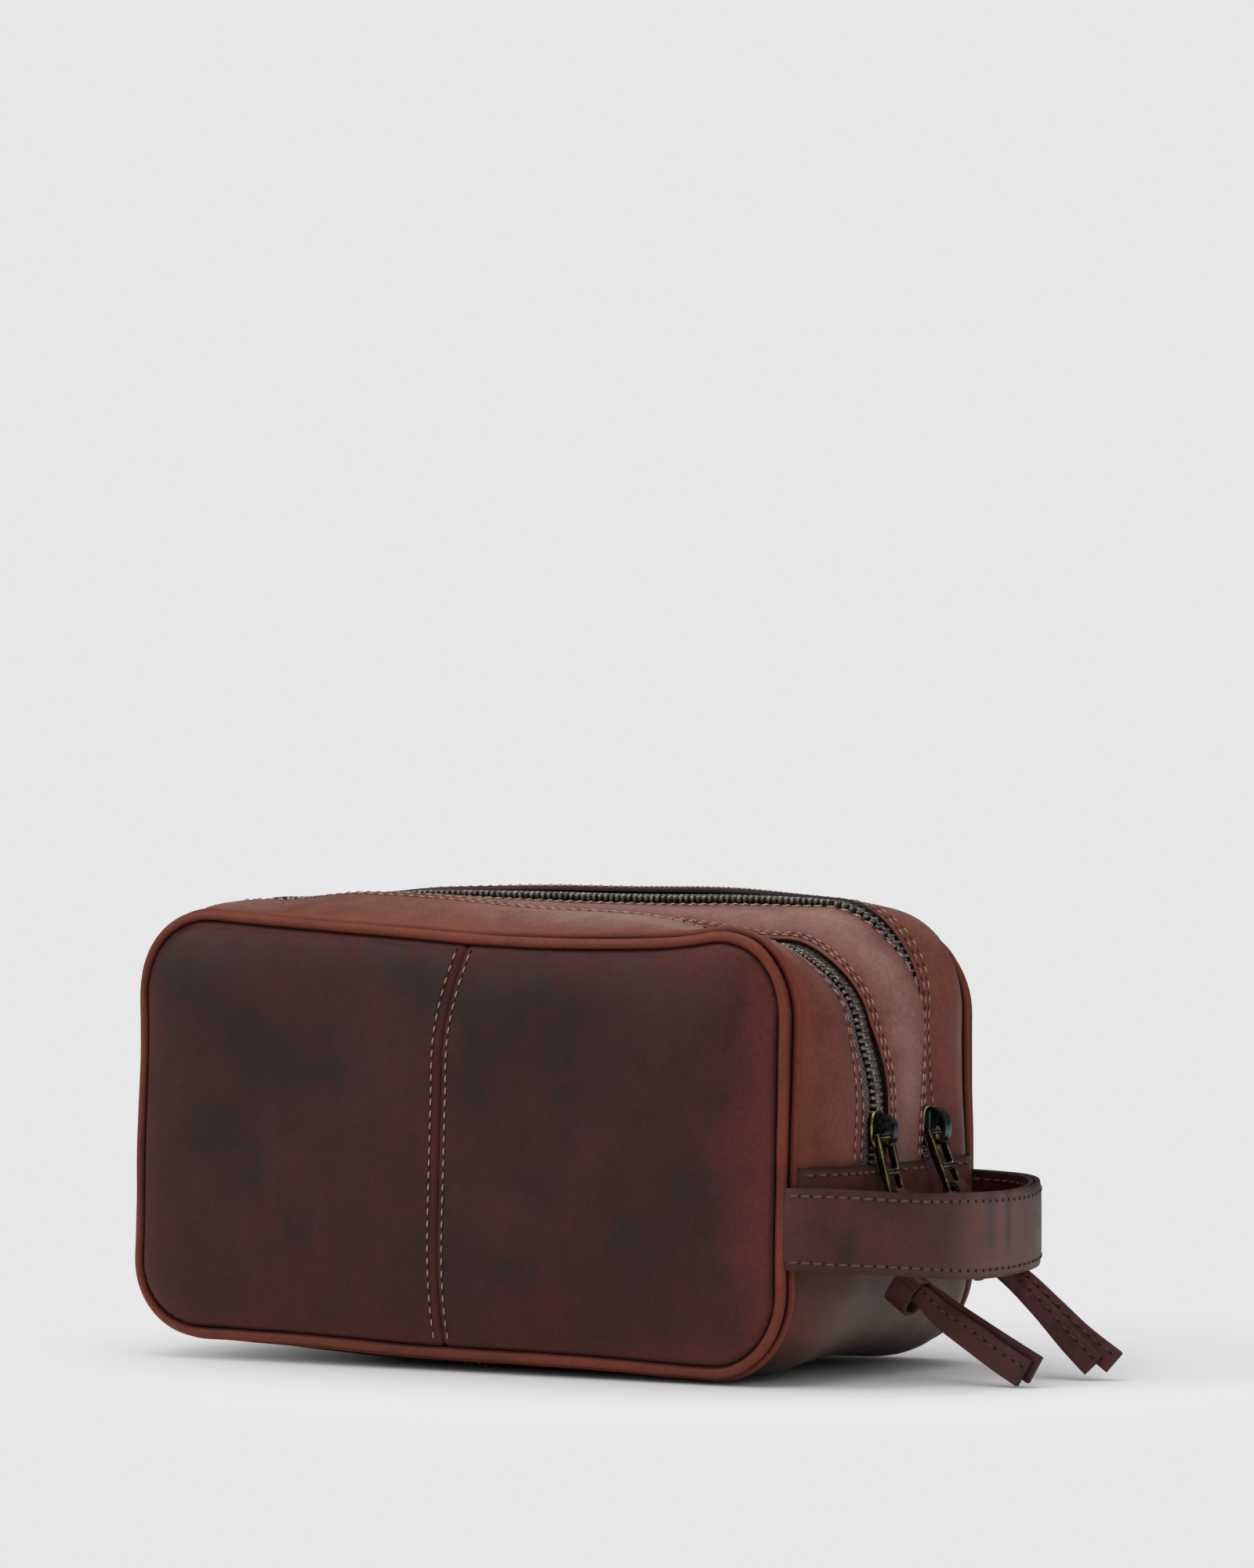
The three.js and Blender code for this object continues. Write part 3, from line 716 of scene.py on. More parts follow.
def piping(side, sign, title, middle, level_y, radius, out, peak, dark):
    tube = cut_sheet(f"{side}_{title}", ROLL_STEPS, ROLL_RING)

    def where(along, across):
        s, turn = along * S_ALL, across * 2 * math.pi
        px, pz, nx, nz = seam_line(s)
        ring = radius * (1 + 0.03 * np.sin(s / 4.3) * np.sin(s / 17))
        far = swell(s, sign * level_y) + out + ring * np.sin(turn)
        return settle(px + nx * far, sign * (middle + ring * np.cos(turn)), pz + nz * far)

    wrap(tube, where)
    # Rubbed lighter with a painted highlight round the peak angle, and painted shade on the far side of
    # the roll.
    crest = np.cos(np.radians(shares_of(tube)[1] * 360 - peak))
    mark(tube, rub=unit(crest) ** 3 * 0.5, shade=unit(1.6 * (dark - crest)))
    close_up(tube)
    apply(tube, "SUBSURF", levels=1, render_levels=1)
    shade(tube, 80)
    dress(tube, PIPING)
    nodes = [side + "_piping_upper", side + "_piping_lower"] if title == "piping" else []
    attach(tube, "piping_leather", BENDS[side], *nodes)


for side, sign in SIDES:
    for roll in ROLLS:
        piping(side, sign, *roll)

# %% [markdown]
# ## The gussets, the strip between the zips and the base
# These are the long strips that join the two faces. Each is cut flat, wrapped on the swell of the bag
# and given its thickness, so the cut edges beside the zips are real edges. The base laps over the ends
# of the other strips.

# %% Strips round the bag
ZIP_Y = 17.5
STRIP_Y = 60.3
GAPS = {"front": (8.8, 7.4), "rear": (6.4, 5.0), "band": (6.2, 4.7)}
TIGHT = {"front": 0.0, "rear": 2.8}
STRAP_END_Z, LAP_Z = 66, 69.5
S_LAP = S_SIDE_RIGHT + LAP_Z - LOW_ARC_Z
S_END = S_SIDE_RIGHT + STRAP_END_Z - LOW_ARC_Z
MIRROR_LAP = S_LOW_LEFT - (LAP_Z - LOW_ARC_Z)
MIRROR_END = S_LOW_LEFT - (STRAP_END_Z - LOW_ARC_Z)
GUSSET_GOODS = ("gusset_leather", 1.5, 0.3, GUSSET, CUT_EDGE)
EDGE_DEPTH, BAND_DEPTH, EDGE_WIDTH = 1.0, 0.4, 1.6
REAR_UP, REAR_UP_FROM, REAR_UP_TO = 1.9, (240, 25), (440, 30)
REAR_CORNER, SLIDER_ROOM = (220, 15), (S_LAP + 34, 14)
FINE_EDGE = 1.35


def squeeze(s):
    """At the corner above its slider the rear zip is closed over by the leather."""
    return hump(s, *REAR_CORNER)


def by_slider(s):
    """1 beside a slider at rest and 0 further up the zip."""
    return 1 - rise(s, *SLIDER_ROOM)


def gap_at(s, gaps):
    """How far a cut edge lies from the middle of its zip. It gives way to the slider near the lap."""
    near, usual = gaps
    return usual + (near - usual) * by_slider(s)


def gusset_edge(s, side):
    return ZIP_Y + gap_at(s, GAPS[side]) - TIGHT[side] * squeeze(s)


def band_edge(s, side):
    return ZIP_Y - gap_at(s, GAPS["band"]) + TIGHT[side] * squeeze(s)


def gusset_out(s, y, side):
    """The gusset turns down at its cut edge, but along the top the rear one stands up behind its zip."""
    up = REAR_UP * rise(s, *REAR_UP_FROM) * (1 - rise(s, *REAR_UP_TO)) if side == "rear" else 0.0
    return (up - EDGE_DEPTH) * fade(np.abs(np.abs(y) - gusset_edge(s, side)), EDGE_WIDTH)


def band_out(s, y):
    return -BAND_DEPTH * fade(np.abs(np.abs(y) - band_edge(s, "front")), EDGE_WIDTH)


def strip(name, lengths, depths, steps, out, power=1.0):
    """A strip between two lengths and two depths. A power above 1 draws its rows to the first depth."""
    sheet = cut_sheet(name, *steps)

    def spot(along, across):
        s = lengths[0] + (lengths[1] - lengths[0]) * along
        low, high = (depth(s) if callable(depth) else depth for depth in depths)
        return s, low + (high - low) * across**power

    def where(along, across):
        s, y = spot(along, across)
        return skin(s, y, out(s, y) if callable(out) else out)

    wrap(sheet, where)
    return sheet, *spot(*shares_of(sheet))


# Ranges for the rub and painted sheen along the top and at the left bend, painted shade by the roll and
# above the lap, the painted highlight beside the roll, the redder top, and the stain.
CREST_Y, CREST_WIDTH = {"front": 37, "rear": 42}, 13
TOP_WEAR_AND_SHEEN, FAR_WEAR_AND_SHEEN, LEFT_BEND, LAP_SHADOW_LINE = (228, 55), (310, 90), (477, 26), (S_LAP, 0.9)
SEAM_SHADE, SEAM_HIGHLIGHT, RED_TOP, RED_END = (TUCK_Y, 1.0), (56.5, 4.5), (330, 60), (500, 40)
STAIN_Z, STAIN_Y = (75, 3.2), (38, 12)


def gusset_wear_and_painted_light(s, y):
    """The bends are rubbed lighter with a painted sheen along the top. Painted shade lies in the groove by
    the roll and in a line above the lap, a painted red highlight lies beside the roll, the top is redder,
    and the rear strip has a stain.
    """
    away, height, nx = np.abs(y), *seam_line(s)[1:3]
    top = 0.12 + 0.72 * rise(s, *TOP_WEAR_AND_SHEEN) * (1 - 0.8 * rise(s, *FAR_WEAR_AND_SHEEN))
    crest = hump(away, np.where(y > 0, CREST_Y["rear"], CREST_Y["front"]), CREST_WIDTH)
    rub = 0.85 * crest * top + 0.3 * hump(s, *LEFT_BEND)
    stain = 0.8 * hump(height, *STAIN_Z) * rise(y, *STAIN_Y) * (nx > 0)
    dark = 0.25 * rise(away, *SEAM_SHADE) + 0.7 * hump(s, *LAP_SHADOW_LINE)
    red = 0.4 * hump(away, *SEAM_HIGHLIGHT) + 0.15 * rise(s, *RED_TOP) * (1 - rise(s, *RED_END))
    return {"rub": unit(rub), "shade": unit(dark), "stain": stain, "red_tint_and_highlight": unit(red)}


# %% The gussets and the strip between the zips
for side, sign in SIDES:
    sheet, s, y = strip(
        side + "_gusset_leather", (S_END, MIRROR_END),
        (sign * STRIP_Y, lambda s: sign * gusset_edge(s, side)), (190, 44),
        lambda s, y: gusset_out(s, y, side), FINE_EDGE,
    )
    mark(sheet, **gusset_wear_and_painted_light(s, y))
    finish_sheet(sheet, GUSSET_GOODS, BENDS[side], side + "_gusset", flip=sign < 0)
    print(sheet.name, len(sheet.data.polygons), "faces")

band_edges = (lambda s: -band_edge(s, "front"), lambda s: band_edge(s, "rear"))
sheet, s, y = strip("middle_strip", (S_END, MIRROR_END), band_edges, (190, 18), band_out)
# Rubbed lighter, with a painted sheen down the middle of the strip.
mark(sheet, rub=0.62 * hump(y, 1, 8) * (0.7 + 0.3 * rise(s, 175, 40)))
finish_sheet(sheet, GUSSET_GOODS, "root", "centre_band", flip=True)
print(sheet.name, len(sheet.data.polygons), "faces")

# %% [markdown]
# The base is two panels with a seam across the bag. It laps over the ends of the zips and of the
# strips, so it stands a little outside them at its upper edge. Each panel is made in a front and a rear
# half, because the front of it is handed the bend of the front face and the rear of it that of the rear
# face.

# %% The base
LAP_OUT, LAP_FROM, LAP_END = 1.9, (52, 12), (59, -7)
BASE_DIP, BASE_DIP_WIDTH = 1.6, 1.4
# Ranges for the rub and painted sheen on the low bends and for the painted shadow under the right end, and
# the height of the painted shade next to the floor.
LOW_BEND, BEND_END, UNDER_Z, UNDER_X, FLOOR_SHADE_Z = (50, -40), (30, 26), (20, -13), (40, 40), 8
BASE = leather("base_leather", "#3e1c11", "#64301f", "#7d7068", 1.4, 5.3, 0.16)
BASE_GOODS = ("gusset_leather", 1.5, 0.0, BASE, CUT_EDGE)
BASE_PANELS = (("right", (SEAM_X, S_LAP)), ("left", (MIRROR_LAP, S_ALL + SEAM_X)))


def lap(s, y):
    """Stands the base out where it laps over the other strips, and dips it at its middle seam."""
    px, pz = seam_line(s)[:2]
    dip = BASE_DIP * hump(px, SEAM_X, BASE_DIP_WIDTH) * (pz < LOW_ARC_Z)
    return rise(pz, *LAP_FROM) * LAP_OUT * rise(np.abs(y), *LAP_END) - dip


def base_wear_and_painted_light(s, y):
    """The low bends at the ends are rubbed lighter and carry a painted sheen. Painted shade darkens the
    seams, the lapped edges, the strip next to the floor and the underside of the right end.
    """
    px, pz, nx, nz = seam_line(s)
    away = np.abs(y)
    rub = 0.8 * rise(np.abs(nx) * 1.2, 0.2, 1) * rise(pz, *LOW_BEND) * (1 - rise(away, *BEND_END))
    # Painted shade along the lapped edges and a painted shadow under the right end.
    lap_edge_shade = 0.8 * fade(np.minimum(np.abs(s - S_LAP), np.abs(s - MIRROR_LAP)), 0.5)
    under = 0.7 * rise(pz, *UNDER_Z) * rise(px, *UNDER_X)
    dark = 0.6 * rise(away, *SEAM_SHADE) + 0.6 * (pz < FLOOR_SHADE_Z) + under + lap_edge_shade
    return {"rub": rub, "shade": unit(dark)}


for hand, lengths in BASE_PANELS:
    for side, sign in SIDES:
        name = f"base_{hand}_{side}"
        sheet, s, y = strip(name, lengths, (sign * STRIP_Y, 0.0), (110, 24), lap, FINE_EDGE)
        mark(sheet, **base_wear_and_painted_light(s, y))
        finish_sheet(sheet, BASE_GOODS, BENDS[side], "base_panel_" + hand, flip=sign < 0)
print("base made")

# %% [markdown]
# ## The lining
# The photograph shows no inside. A bag like this has a cloth lining in both compartments and a wall of
# two cloths between them, so that is what these thin sheets are. They lie a little under the leather.

# %% The lining cloth
def cloth(name, dark, light, threads, bump=0.5):
    """A woven cloth: two sets of waves across each other, mixed by object coordinates."""
    material, t = new_material(name)
    place = t.place()
    turned = t.add("Mapping", {"Vector": place, "Rotation": (0.3, 0.9, 1.7)})
    waves = {"Scale": threads, "Distortion": 1.2, "Detail": 1.0}
    warp, weft = (
        t.add("TexWave", waves | {"Vector": where}, 1, bands_direction="DIAGONAL")
        for where in (place, turned)
    )
    weave = t.math("MAXIMUM", warp, weft)
    share = t.times(t.plus(weave, t.noise(place, threads * 3, 3, 0.7)), 0.5)
    color = t.mix(t.ramp(share, 0.3, 0.8), srgb(dark), srgb(light))
    t.principled(color, 0.9, weave, bump, 0.2)
    return material


LINING = cloth("lining_cloth", "#3b3029", "#5c4d42", 330)
LINING_GOODS = ("lining_cloth", 0.5, 0.0, LINING)
WALL_GOODS = ("lining_cloth", 1.4, 0.0, LINING)
LINING_GAP = 2.5
FACE_LINING_OUT, BAND_LINING_OUT, WALL_OUT = -3.2, -4.2, -3.2
WALL_MIDDLE_Z = 75


def lining(side, sign):
    """Three sheets: behind the face, under the gusset and over the base."""
    def behind(along, across):
        half = SEAM_HALF - LINING_GAP
        x = half * (2 * along - 1)
        z = SEAM_BOTTOM + LINING_GAP + across * (SEAM_TOP - SEAM_BOTTOM - 2 * LINING_GAP)
        _, centre_z, radius, _ = corner_at(x, z)
        radius = radius - LINING_GAP
        past = np.minimum(np.abs(z - centre_z), radius)
        x = x * (half - radius + np.sqrt(radius**2 - past**2)) / half
        return on_face(x, z, side, sign, FACE_LINING_OUT)

    sheet = cut_sheet(side + "_face_lining", 60, 34)
    wrap(sheet, behind)
    finish_sheet(sheet, LINING_GOODS, BENDS[side], side + "_flap_lining", flip=sign > 0)
    low, high = S_LOW_LEFT - 30, S_SIDE_RIGHT + 30
    for title, lengths, inner_y, rows, nodes in (
        ("_base_lining", (low, S_ALL + high), 1.6, 16, [side + "_compartment_lining"]),
        ("_gusset_lining", (high, low), 27.5, 14, []),
    ):
        depths = (sign * 59, sign * inner_y)
        sheet = strip(side + title, lengths, depths, (110, rows), BAND_LINING_OUT)[0]
        finish_sheet(sheet, LINING_GOODS, BENDS[side], *nodes, flip=sign < 0)


def wall_at(along, across):
    """The wall fills the section at y = 0, a little inside the middle strip and the base."""
    px, pz, nx, nz = seam_line(along * S_ALL)
    far = swell(along * S_ALL, 0) * np.where(nz < 0, BASE_FLAT, 1) + WALL_OUT
    high = (pz + nz * far - WALL_MIDDLE_Z) * across
    return settle((px + nx * far) * across, 0, WALL_MIDDLE_Z + high)


for side, sign in SIDES:
    lining(side, sign)
wall = cut_sheet("divider_cloth", 200, 8)
wrap(wall, wall_at)
close_up(wall)
finish_sheet(wall, WALL_GOODS, "root", "divider_wall")
print("lining made")

# %% [markdown]
# ## The zips
# A zip is two woven tapes with a row of metal teeth on each. One tooth is modelled as a small bevelled
# block, and copies of it stand along each tape, half a step apart so that the rows mesh. They are placed
# by number, because an array along a curve would not follow the swell of the bag.

# %% Copies along a line
def frames_of(surface, a, b, da=0.5, db=0.5, turn=1):
    """Places on a surface, and the directions along, across and out of it there."""
    along = surface(a + da, b) - surface(a - da, b)
    across = turn * (surface(a, b + db) - surface(a, b - db))
    along = along / np.linalg.norm(along, axis=1)[:, None]
    normal = np.cross(across, along)
    normal /= np.linalg.norm(normal, axis=1)[:, None]
    return surface(a, b), along, np.cross(along, normal), normal


def copies(name, template, frames, mirror=False):
    """One mesh that repeats a template at each frame."""
    here, *ways = frames
    points = points_of(template) / MM
    if mirror:
        ways[1] = -ways[1]
    placed = here[:, None] + sum(points[None, :, i : i + 1] * ways[i][:, None] for i in range(3))
    polygons = [tuple(p.vertices)[:: -1 if mirror else 1] for p in template.data.polygons]
    faces = [[v + i * len(points) for v in p] for i in range(len(here)) for p in polygons]
    mesh = bpy.data.meshes.new(name)
    mesh.from_pydata((placed.reshape(-1, 3) * MM).tolist(), [], faces)
    for material in template.data.materials:
        mesh.materials.append(material)
    kinds = [p.material_index for p in template.data.polygons] * len(here)
    mesh.polygons.foreach_set("material_index", kinds)
    mesh.polygons.foreach_set("use_smooth", [True] * len(faces))
    piece = bpy.data.objects.new(name, mesh)
    bpy.context.collection.objects.link(piece)
    shade(piece, 45)
    return piece


# %% [markdown]
# ## Antique metal
# The metal is dark brass, nearly black in the hollows and rubbed to a pale gold along its edges. The
# bevels get a second material, because those are the places that are worn bright on the real one.

# %% The metals
def metal_look(t, given):
    stains = t.noise(t.place(), given["Scale"], 4, 0.6, 0.5)
    return {
        "Color": t.mix(t.ramp(stains, 0.35, 0.7), given["Dark"], given["Light"]),
        "Roughness": t.ramp(stains, 0.3, 0.7, 0.24, 0.42),
        "Height": t.noise(t.place(), 2400, 2, 0.5),
    }


AGED = new_group("aged_metal", ["Dark", "Light"], ["Scale"], metal_look)
STAIN_SCALE = 420
GRIT, GRIT_DEPTH = 0.15, 0.03


def metal(name, dark, light, metallic=1.0):
    material, t = new_material(name)
    inputs = {"Dark": srgb(dark), "Light": srgb(light), "Scale": STAIN_SCALE}
    made = t.add("Group", inputs, None, node_tree=AGED)
    look = [made[title] for title in ("Color", "Roughness", "Height")]
    t.principled(*look, GRIT, GRIT_DEPTH, Metallic=metallic)
    return material


BRASS_DARK = metal("hardware_brass", "#20242a", "#57503a")
BRASS_WORN = metal("worn_brass", "#94804c", "#f0dca4")
# The lug's blue-grey colour is a painted reflection of the sky on dark metal.
LUG_METAL_WITH_REFLECTION = metal("lug_metal_painted_reflection", "#22303b", "#5a6a72")
TEETH_DARK = metal("zip_teeth_metal", "#45403c", "#7d756f", 0.6)
TEETH_WORN = metal("worn_teeth", "#6f6761", "#cbc3ba", 0.7)
print("metals made")


def worn_metal(piece, width, dark, worn, segments=2):
    """Rounds the edges of a metal piece. The rounded edges take the worn metal."""
    dress(piece, dark, worn)
    bevel(piece, width, 35, segments, material=1)
    shade(piece, 30)


# %% The tapes and teeth
TAPE = cloth("zip_tape_cloth", "#2a1f20", "#6b585a", 300, 0.8)
TAPE_GOODS = ("zip_tape_cloth", 0.6, 0.0, TAPE)
TAPE_FROM, TAPE_TO = 3.0, 14.0
TAPE_OUT, TAPE_UNDER = -1.1, -2.7
SLIDER_DIP, SQUEEZE_DIP = 0.9, 2.2
TOOTH_PITCH = 2.25
TOOTH = (1.02, 4.5, 2.0)
TOOTH_HEAD = (1.05, 1.2)
TOOTH_OUT = -0.6


def zip_level(s, side):
    """The front zip lies deeper where its slider runs, and the rear one where leather covers it."""
    return -SLIDER_DIP * by_slider(s) if side == "front" else -SQUEEZE_DIP * squeeze(s)


def tape(side, sign, part, way):
    """A tape, which rises between the cut edges and lies under the leather beside them."""
    gaps = GAPS[side if part == "outer" else "band"]

    def level(s, y):
        under = rise(np.abs(np.abs(y) - ZIP_Y), gap_at(s, gaps) - 2.2, 1.6)
        return zip_level(s, side) + TAPE_OUT + (TAPE_UNDER - TAPE_OUT) * under

    depths = sorted(sign * ZIP_Y + way * far for far in (TAPE_FROM, TAPE_TO))
    sheet = strip(f"{side}_tape_{part}", (S_END, MIRROR_END), depths, (190, 16), level)[0]
    holder = BENDS[side] if part == "outer" else "root"
    finish_sheet(sheet, TAPE_GOODS, holder, f"{side}_zip_tape_{part}", flip=True)


def make_tooth():
    """One tooth: along the zip in X, its head over the middle of the zip at Y just below 0."""
    tooth = add_mesh("tooth", bpy.ops.mesh.primitive_cube_add, size=1)
    points = points_of(tooth) * TOOTH
    points[:, 1] += TOOTH[1] / 2 - 1.0
    head = points[:, 1] < 1
    points[head, 0] *= TOOTH_HEAD[0]
    points[head, 2] *= TOOTH_HEAD[1]
    set_points(tooth, points)
    worn_metal(tooth, 0.22, TEETH_DARK, TEETH_WORN, 1)
    return tooth


def teeth(side, sign, part, way, tooth):
    """A row of teeth. The inner row stands half a step further on."""
    start = S_END + 2 + (TOOTH_PITCH / 2 if part == "inner" else 0)
    s = np.arange(start, MIRROR_END - 2, TOOTH_PITCH)
    out = TOOTH_OUT + zip_level(s, side)
    frames = frames_of(lambda s, y: skin(s, y, out), s, sign * ZIP_Y)
    row = copies(f"{side}_teeth_{part}", tooth, frames, mirror=way < 0)
    holder = BENDS[side] if part == "outer" else "root"
    attach(row, "zip_teeth_metal", holder, f"{side}_zip_teeth_{part}")
    return len(s)


tooth = make_tooth()
for side, sign in SIDES:
    for part, way in (("outer", sign), ("inner", -sign)):
        tape(side, sign, part, way)
        count = teeth(side, sign, part, way, tooth)
print("teeth in each row:", count)
bpy.data.objects.remove(tooth)

# %% [markdown]
# ## The sliders and links
# Each slider is an oblong body with a tall closed loop on it, and a stamped link hangs in that loop. The
# loop is cut from a disc that is flattened on one side, with sunken cheeks and a slot for the link. The
# link is a grid of bars: its windows are taken out of a flat grid before it is pushed out to its depth.

# %% The sliders
SLIDER_Z, SLIDER_HALF, SLIDER_LONG = 80.5, 5.1, 1.9
PLATE_X, PLATE_TOP_X = 132.0, 134.2
BACK_X, WEB_X = (126.6, 128.0), (127.5, 132.5)
BACK_HIGH, WEB_HIGH, WEB_HALF = 6.6, 2.8, 0.45
REAR_DEEPER, REAR_BACK_HALF = 1.4, 2.9
LUG_LOW, LUG_HIGH, LUG_OUT, LUG_HALF, LUG_SUNK = 74.1, 86.6, 140.9, 2.0, 0.6
SLOT_RADIUS, CHEEK_RIM, CHEEK_SLOPE, CHEEK_DEPTH = 1.9, 0.95, 0.3, 0.55
PIVOT = (135.9, 78.7)


def extrude_all(piece, move):
    """Pushes a flat piece out to a solid."""
    push = {"value": tuple(v * MM for v in move)}
    edit(
        piece,
        lambda: bpy.ops.mesh.extrude_region_move(TRANSFORM_OT_translate=push),
        lambda: bpy.ops.mesh.select_all(action="SELECT"),
        face_outwards,
    )


def slider(side, sign):
    """The outer plate, rounded at both ends and narrower below."""
    plate = disc(side + "_slider_body", 40)
    y, z = points_of(plate)[:, :2].T
    wide = SLIDER_HALF * y * (1 - 0.22 * rise(z, 0.2, -1.2))
    high = SLIDER_Z + z * SLIDER_HALF + SLIDER_LONG * np.sign(z) * (np.abs(z) > 0.01)
    set_points(plate, stack(PLATE_X, sign * ZIP_Y + wide, high))
    extrude_all(plate, (PLATE_TOP_X - PLATE_X, 0, 0))
    worn_metal(plate, 0.55, BRASS_DARK, BRASS_WORN)
    attach(plate, "hardware_brass", side + "_slider", side + "_slider")


def inner_slider(side, sign):
    """The plate behind the teeth and the web that joins it to the outer plate."""
    deeper, half = (REAR_DEEPER, REAR_BACK_HALF) if side == "rear" else (0.0, SLIDER_HALF)
    for title, low, high, wide, tall in (
        ("_slider_back", BACK_X[0] - deeper, BACK_X[1] - deeper, half, BACK_HIGH),
        ("_slider_web", WEB_X[0] - deeper, WEB_X[1], WEB_HALF, WEB_HIGH),
    ):
        block = add_mesh(
            side + title, bpy.ops.mesh.primitive_cube_add, size=1,
            location=[v * MM for v in ((low + high) / 2, sign * ZIP_Y, SLIDER_Z)],
            scale=[v * MM for v in (high - low, 2 * wide, 2 * tall)],
        )
        freeze()
        worn_metal(block, 0.3, BRASS_DARK, BRASS_DARK, 1)
        attach(block, "hardware_brass", side + "_slider")


def lug(side, sign):
    """The loop on the slider, a flattened disc with sunken cheeks and a slot."""
    loop = disc(side + "_lug", 48)
    a, b = points_of(loop)[:, :2].T
    start = PLATE_TOP_X - LUG_SUNK
    x = start + np.where(a > 0, (LUG_OUT - PLATE_TOP_X + LUG_SUNK) * np.abs(a) ** 0.75, 0)
    z = (LUG_HIGH + LUG_LOW) / 2 + (LUG_HIGH - LUG_LOW) / 2 * signed_power(b, 0.8)
    set_points(loop, stack(x, sign * ZIP_Y - LUG_HALF, z))
    close_up(loop, 0.02)
    extrude_all(loop, (0, 2 * LUG_HALF, 0))
    for polygon in loop.data.polygons:
        polygon.select = abs(polygon.normal.y) > 0.99
    bpy.ops.object.mode_set(mode="EDIT")
    bpy.ops.mesh.select_mode(type="FACE")
    bpy.ops.mesh.inset(thickness=CHEEK_RIM * MM, depth=0)
    bpy.ops.mesh.inset(thickness=CHEEK_SLOPE * MM, depth=-CHEEK_DEPTH * MM)
    slot = add_mesh(
        side + "_slot", bpy.ops.mesh.primitive_cylinder_add, vertices=24, radius=SLOT_RADIUS * MM,
        depth=8 * MM, rotation=(QUARTER, 0, 0),
        location=[v * MM for v in (PIVOT[0] + 1.0, sign * ZIP_Y, PIVOT[1] - 0.3)],
    )
    slot.scale.y = 1.35
    freeze()
    apply(loop, "BOOLEAN", object=slot, operation="DIFFERENCE", solver="EXACT")
    bpy.data.objects.remove(slot)
    worn_metal(loop, 0.3, LUG_METAL_WITH_REFLECTION, BRASS_WORN)
    attach(loop, "hardware_brass", side + "_slider", side + "_slider_bridge")


# %% The links
LINK_TILT = {"front": 14.0, "rear": 21.5}
LINK_Y = [-5.2, -3.5, 3.5, 5.2]
LINK_Z = [0.8, -0.8, -4.5, -10.9, -12.5, -19.6, -21.2]
LINK_BACK = [0.8, 0.8, 2.0, 2.0, 1.9, 1.2, 1.0]
LINK_FRONT = 0.8


def in_window(face):
    middle = face.calc_center_median() / MM
    return abs(middle.y) < 3 and (-11 < middle.z < -1 or -19.6 < middle.z < -12.5)


def link(side, sign):
    """A grid with two windows, thicker in its middle, that hangs out from the pivot."""
    bars = add_mesh(
        side + "_link_frame", bpy.ops.mesh.primitive_grid_add,
        x_subdivisions=3, y_subdivisions=6, size=1,
    )
    flat = points_of(bars)
    column = np.rint((flat[:, 0] + 0.5) * 3).astype(int)
    row = np.rint((0.5 - flat[:, 1]) * 6).astype(int)
    set_points(bars, stack(0, np.array(LINK_Y)[column], np.array(LINK_Z)[row]))
    cut_away(bars, "FACES", in_window)
    extrude_all(bars, (1.6, 0, 0))
    depth, y, z = points_of(bars).T / MM
    back = np.interp(-z, -np.array(LINK_Z), LINK_BACK)
    depth = np.where(depth > 0.5, LINK_FRONT, -back)
    turn = math.radians(LINK_TILT[side])
    x = PIVOT[0] + (depth * math.cos(turn) - z * math.sin(turn))
    z = PIVOT[1] + (depth * math.sin(turn) + z * math.cos(turn))
    set_points(bars, stack(x, y + sign * ZIP_Y, z))
    worn_metal(bars, 0.42, BRASS_DARK, BRASS_WORN)
    attach(bars, "hardware_brass", side + "_link", side + "_pull_link")


for side, sign in SIDES:
    for make in (slider, inner_slider, lug, link):
        make(side, sign)
print("sliders and links made")

# %% [markdown]
# ## The leather pulls
# Each pull is one leather strip. It goes round the lower bar of the link, both halves pass through a
# knot, and they end as two tails that lie on edge. A strip is a flat grid bent along its line, and the
# cut edges of the leather are nearly black.

# %% The shapes of the pulls
PULL = leather("pull_leather", "#381815", "#5e2a21", "#7b4437", 1.6, 6.2, 0.22)
LOOP_RADIUS, LOOP_NECK, LOOP_WIDTH, BAR_DOWN = 2.35, 0.9, 6.6, 20.4
LOOP_GOODS, KNOT_GOODS, TAIL_GOODS = (
    ("strap_leather", thickness, soften, PULL, CUT_EDGE)
    for thickness, soften in ((1.7, 0.25), (1.5, 0.25), (2.1, 0.3))
)
TAIL_OFFSETS = (-1.55, 1.55)
KNOT_WIDE, KNOT_DEEP, KNOT_LONG, KNOT_POWER = 5.6, 3.2, 8.6, 0.62
PULLS = {
    "front": {
        "turn": -36, "lean": 1.0, "widths": [5.4, 6.4, 8.2, 9.2, 9.4, 9.6],
        "tails": [
            [(145.0, 29.2), (150.0, 28.2), (158.0, 21.9), (168.0, 16.0), (178.5, 9.6), (187.6, 4.6)],
            [(145.0, 29.2), (150.4, 28.6), (159.0, 22.8), (169.0, 16.7), (179.5, 10.9), (189.8, 5.4)],
        ],
    },
    "rear": {
        "turn": -38, "lean": 3.6, "widths": [4.0, 4.4, 5.2, 6.0, 6.8, 7.4],
        "tails": [
            [(152.3, 38.4), (158.0, 36.2), (166.0, 30.9), (176.5, 21.7), (186.0, 12.4), (194.6, 4.9)],
            [(152.3, 38.4), (158.3, 36.9), (167.2, 31.8), (178.0, 22.9), (188.6, 13.9), (200.2, 5.9)],
        ],
    },
}


def along_line(points, share):
    """Places and directions along a smooth line through points, for shares from 0 to 1."""
    knots = np.linspace(0, 1, len(points))
    ahead = curve_through(knots, points, np.minimum(share + 0.01, 1))
    way = ahead - curve_through(knots, points, np.maximum(share - 0.01, 0))
    return curve_through(knots, points, share), way / np.linalg.norm(way, axis=1)[:, None]


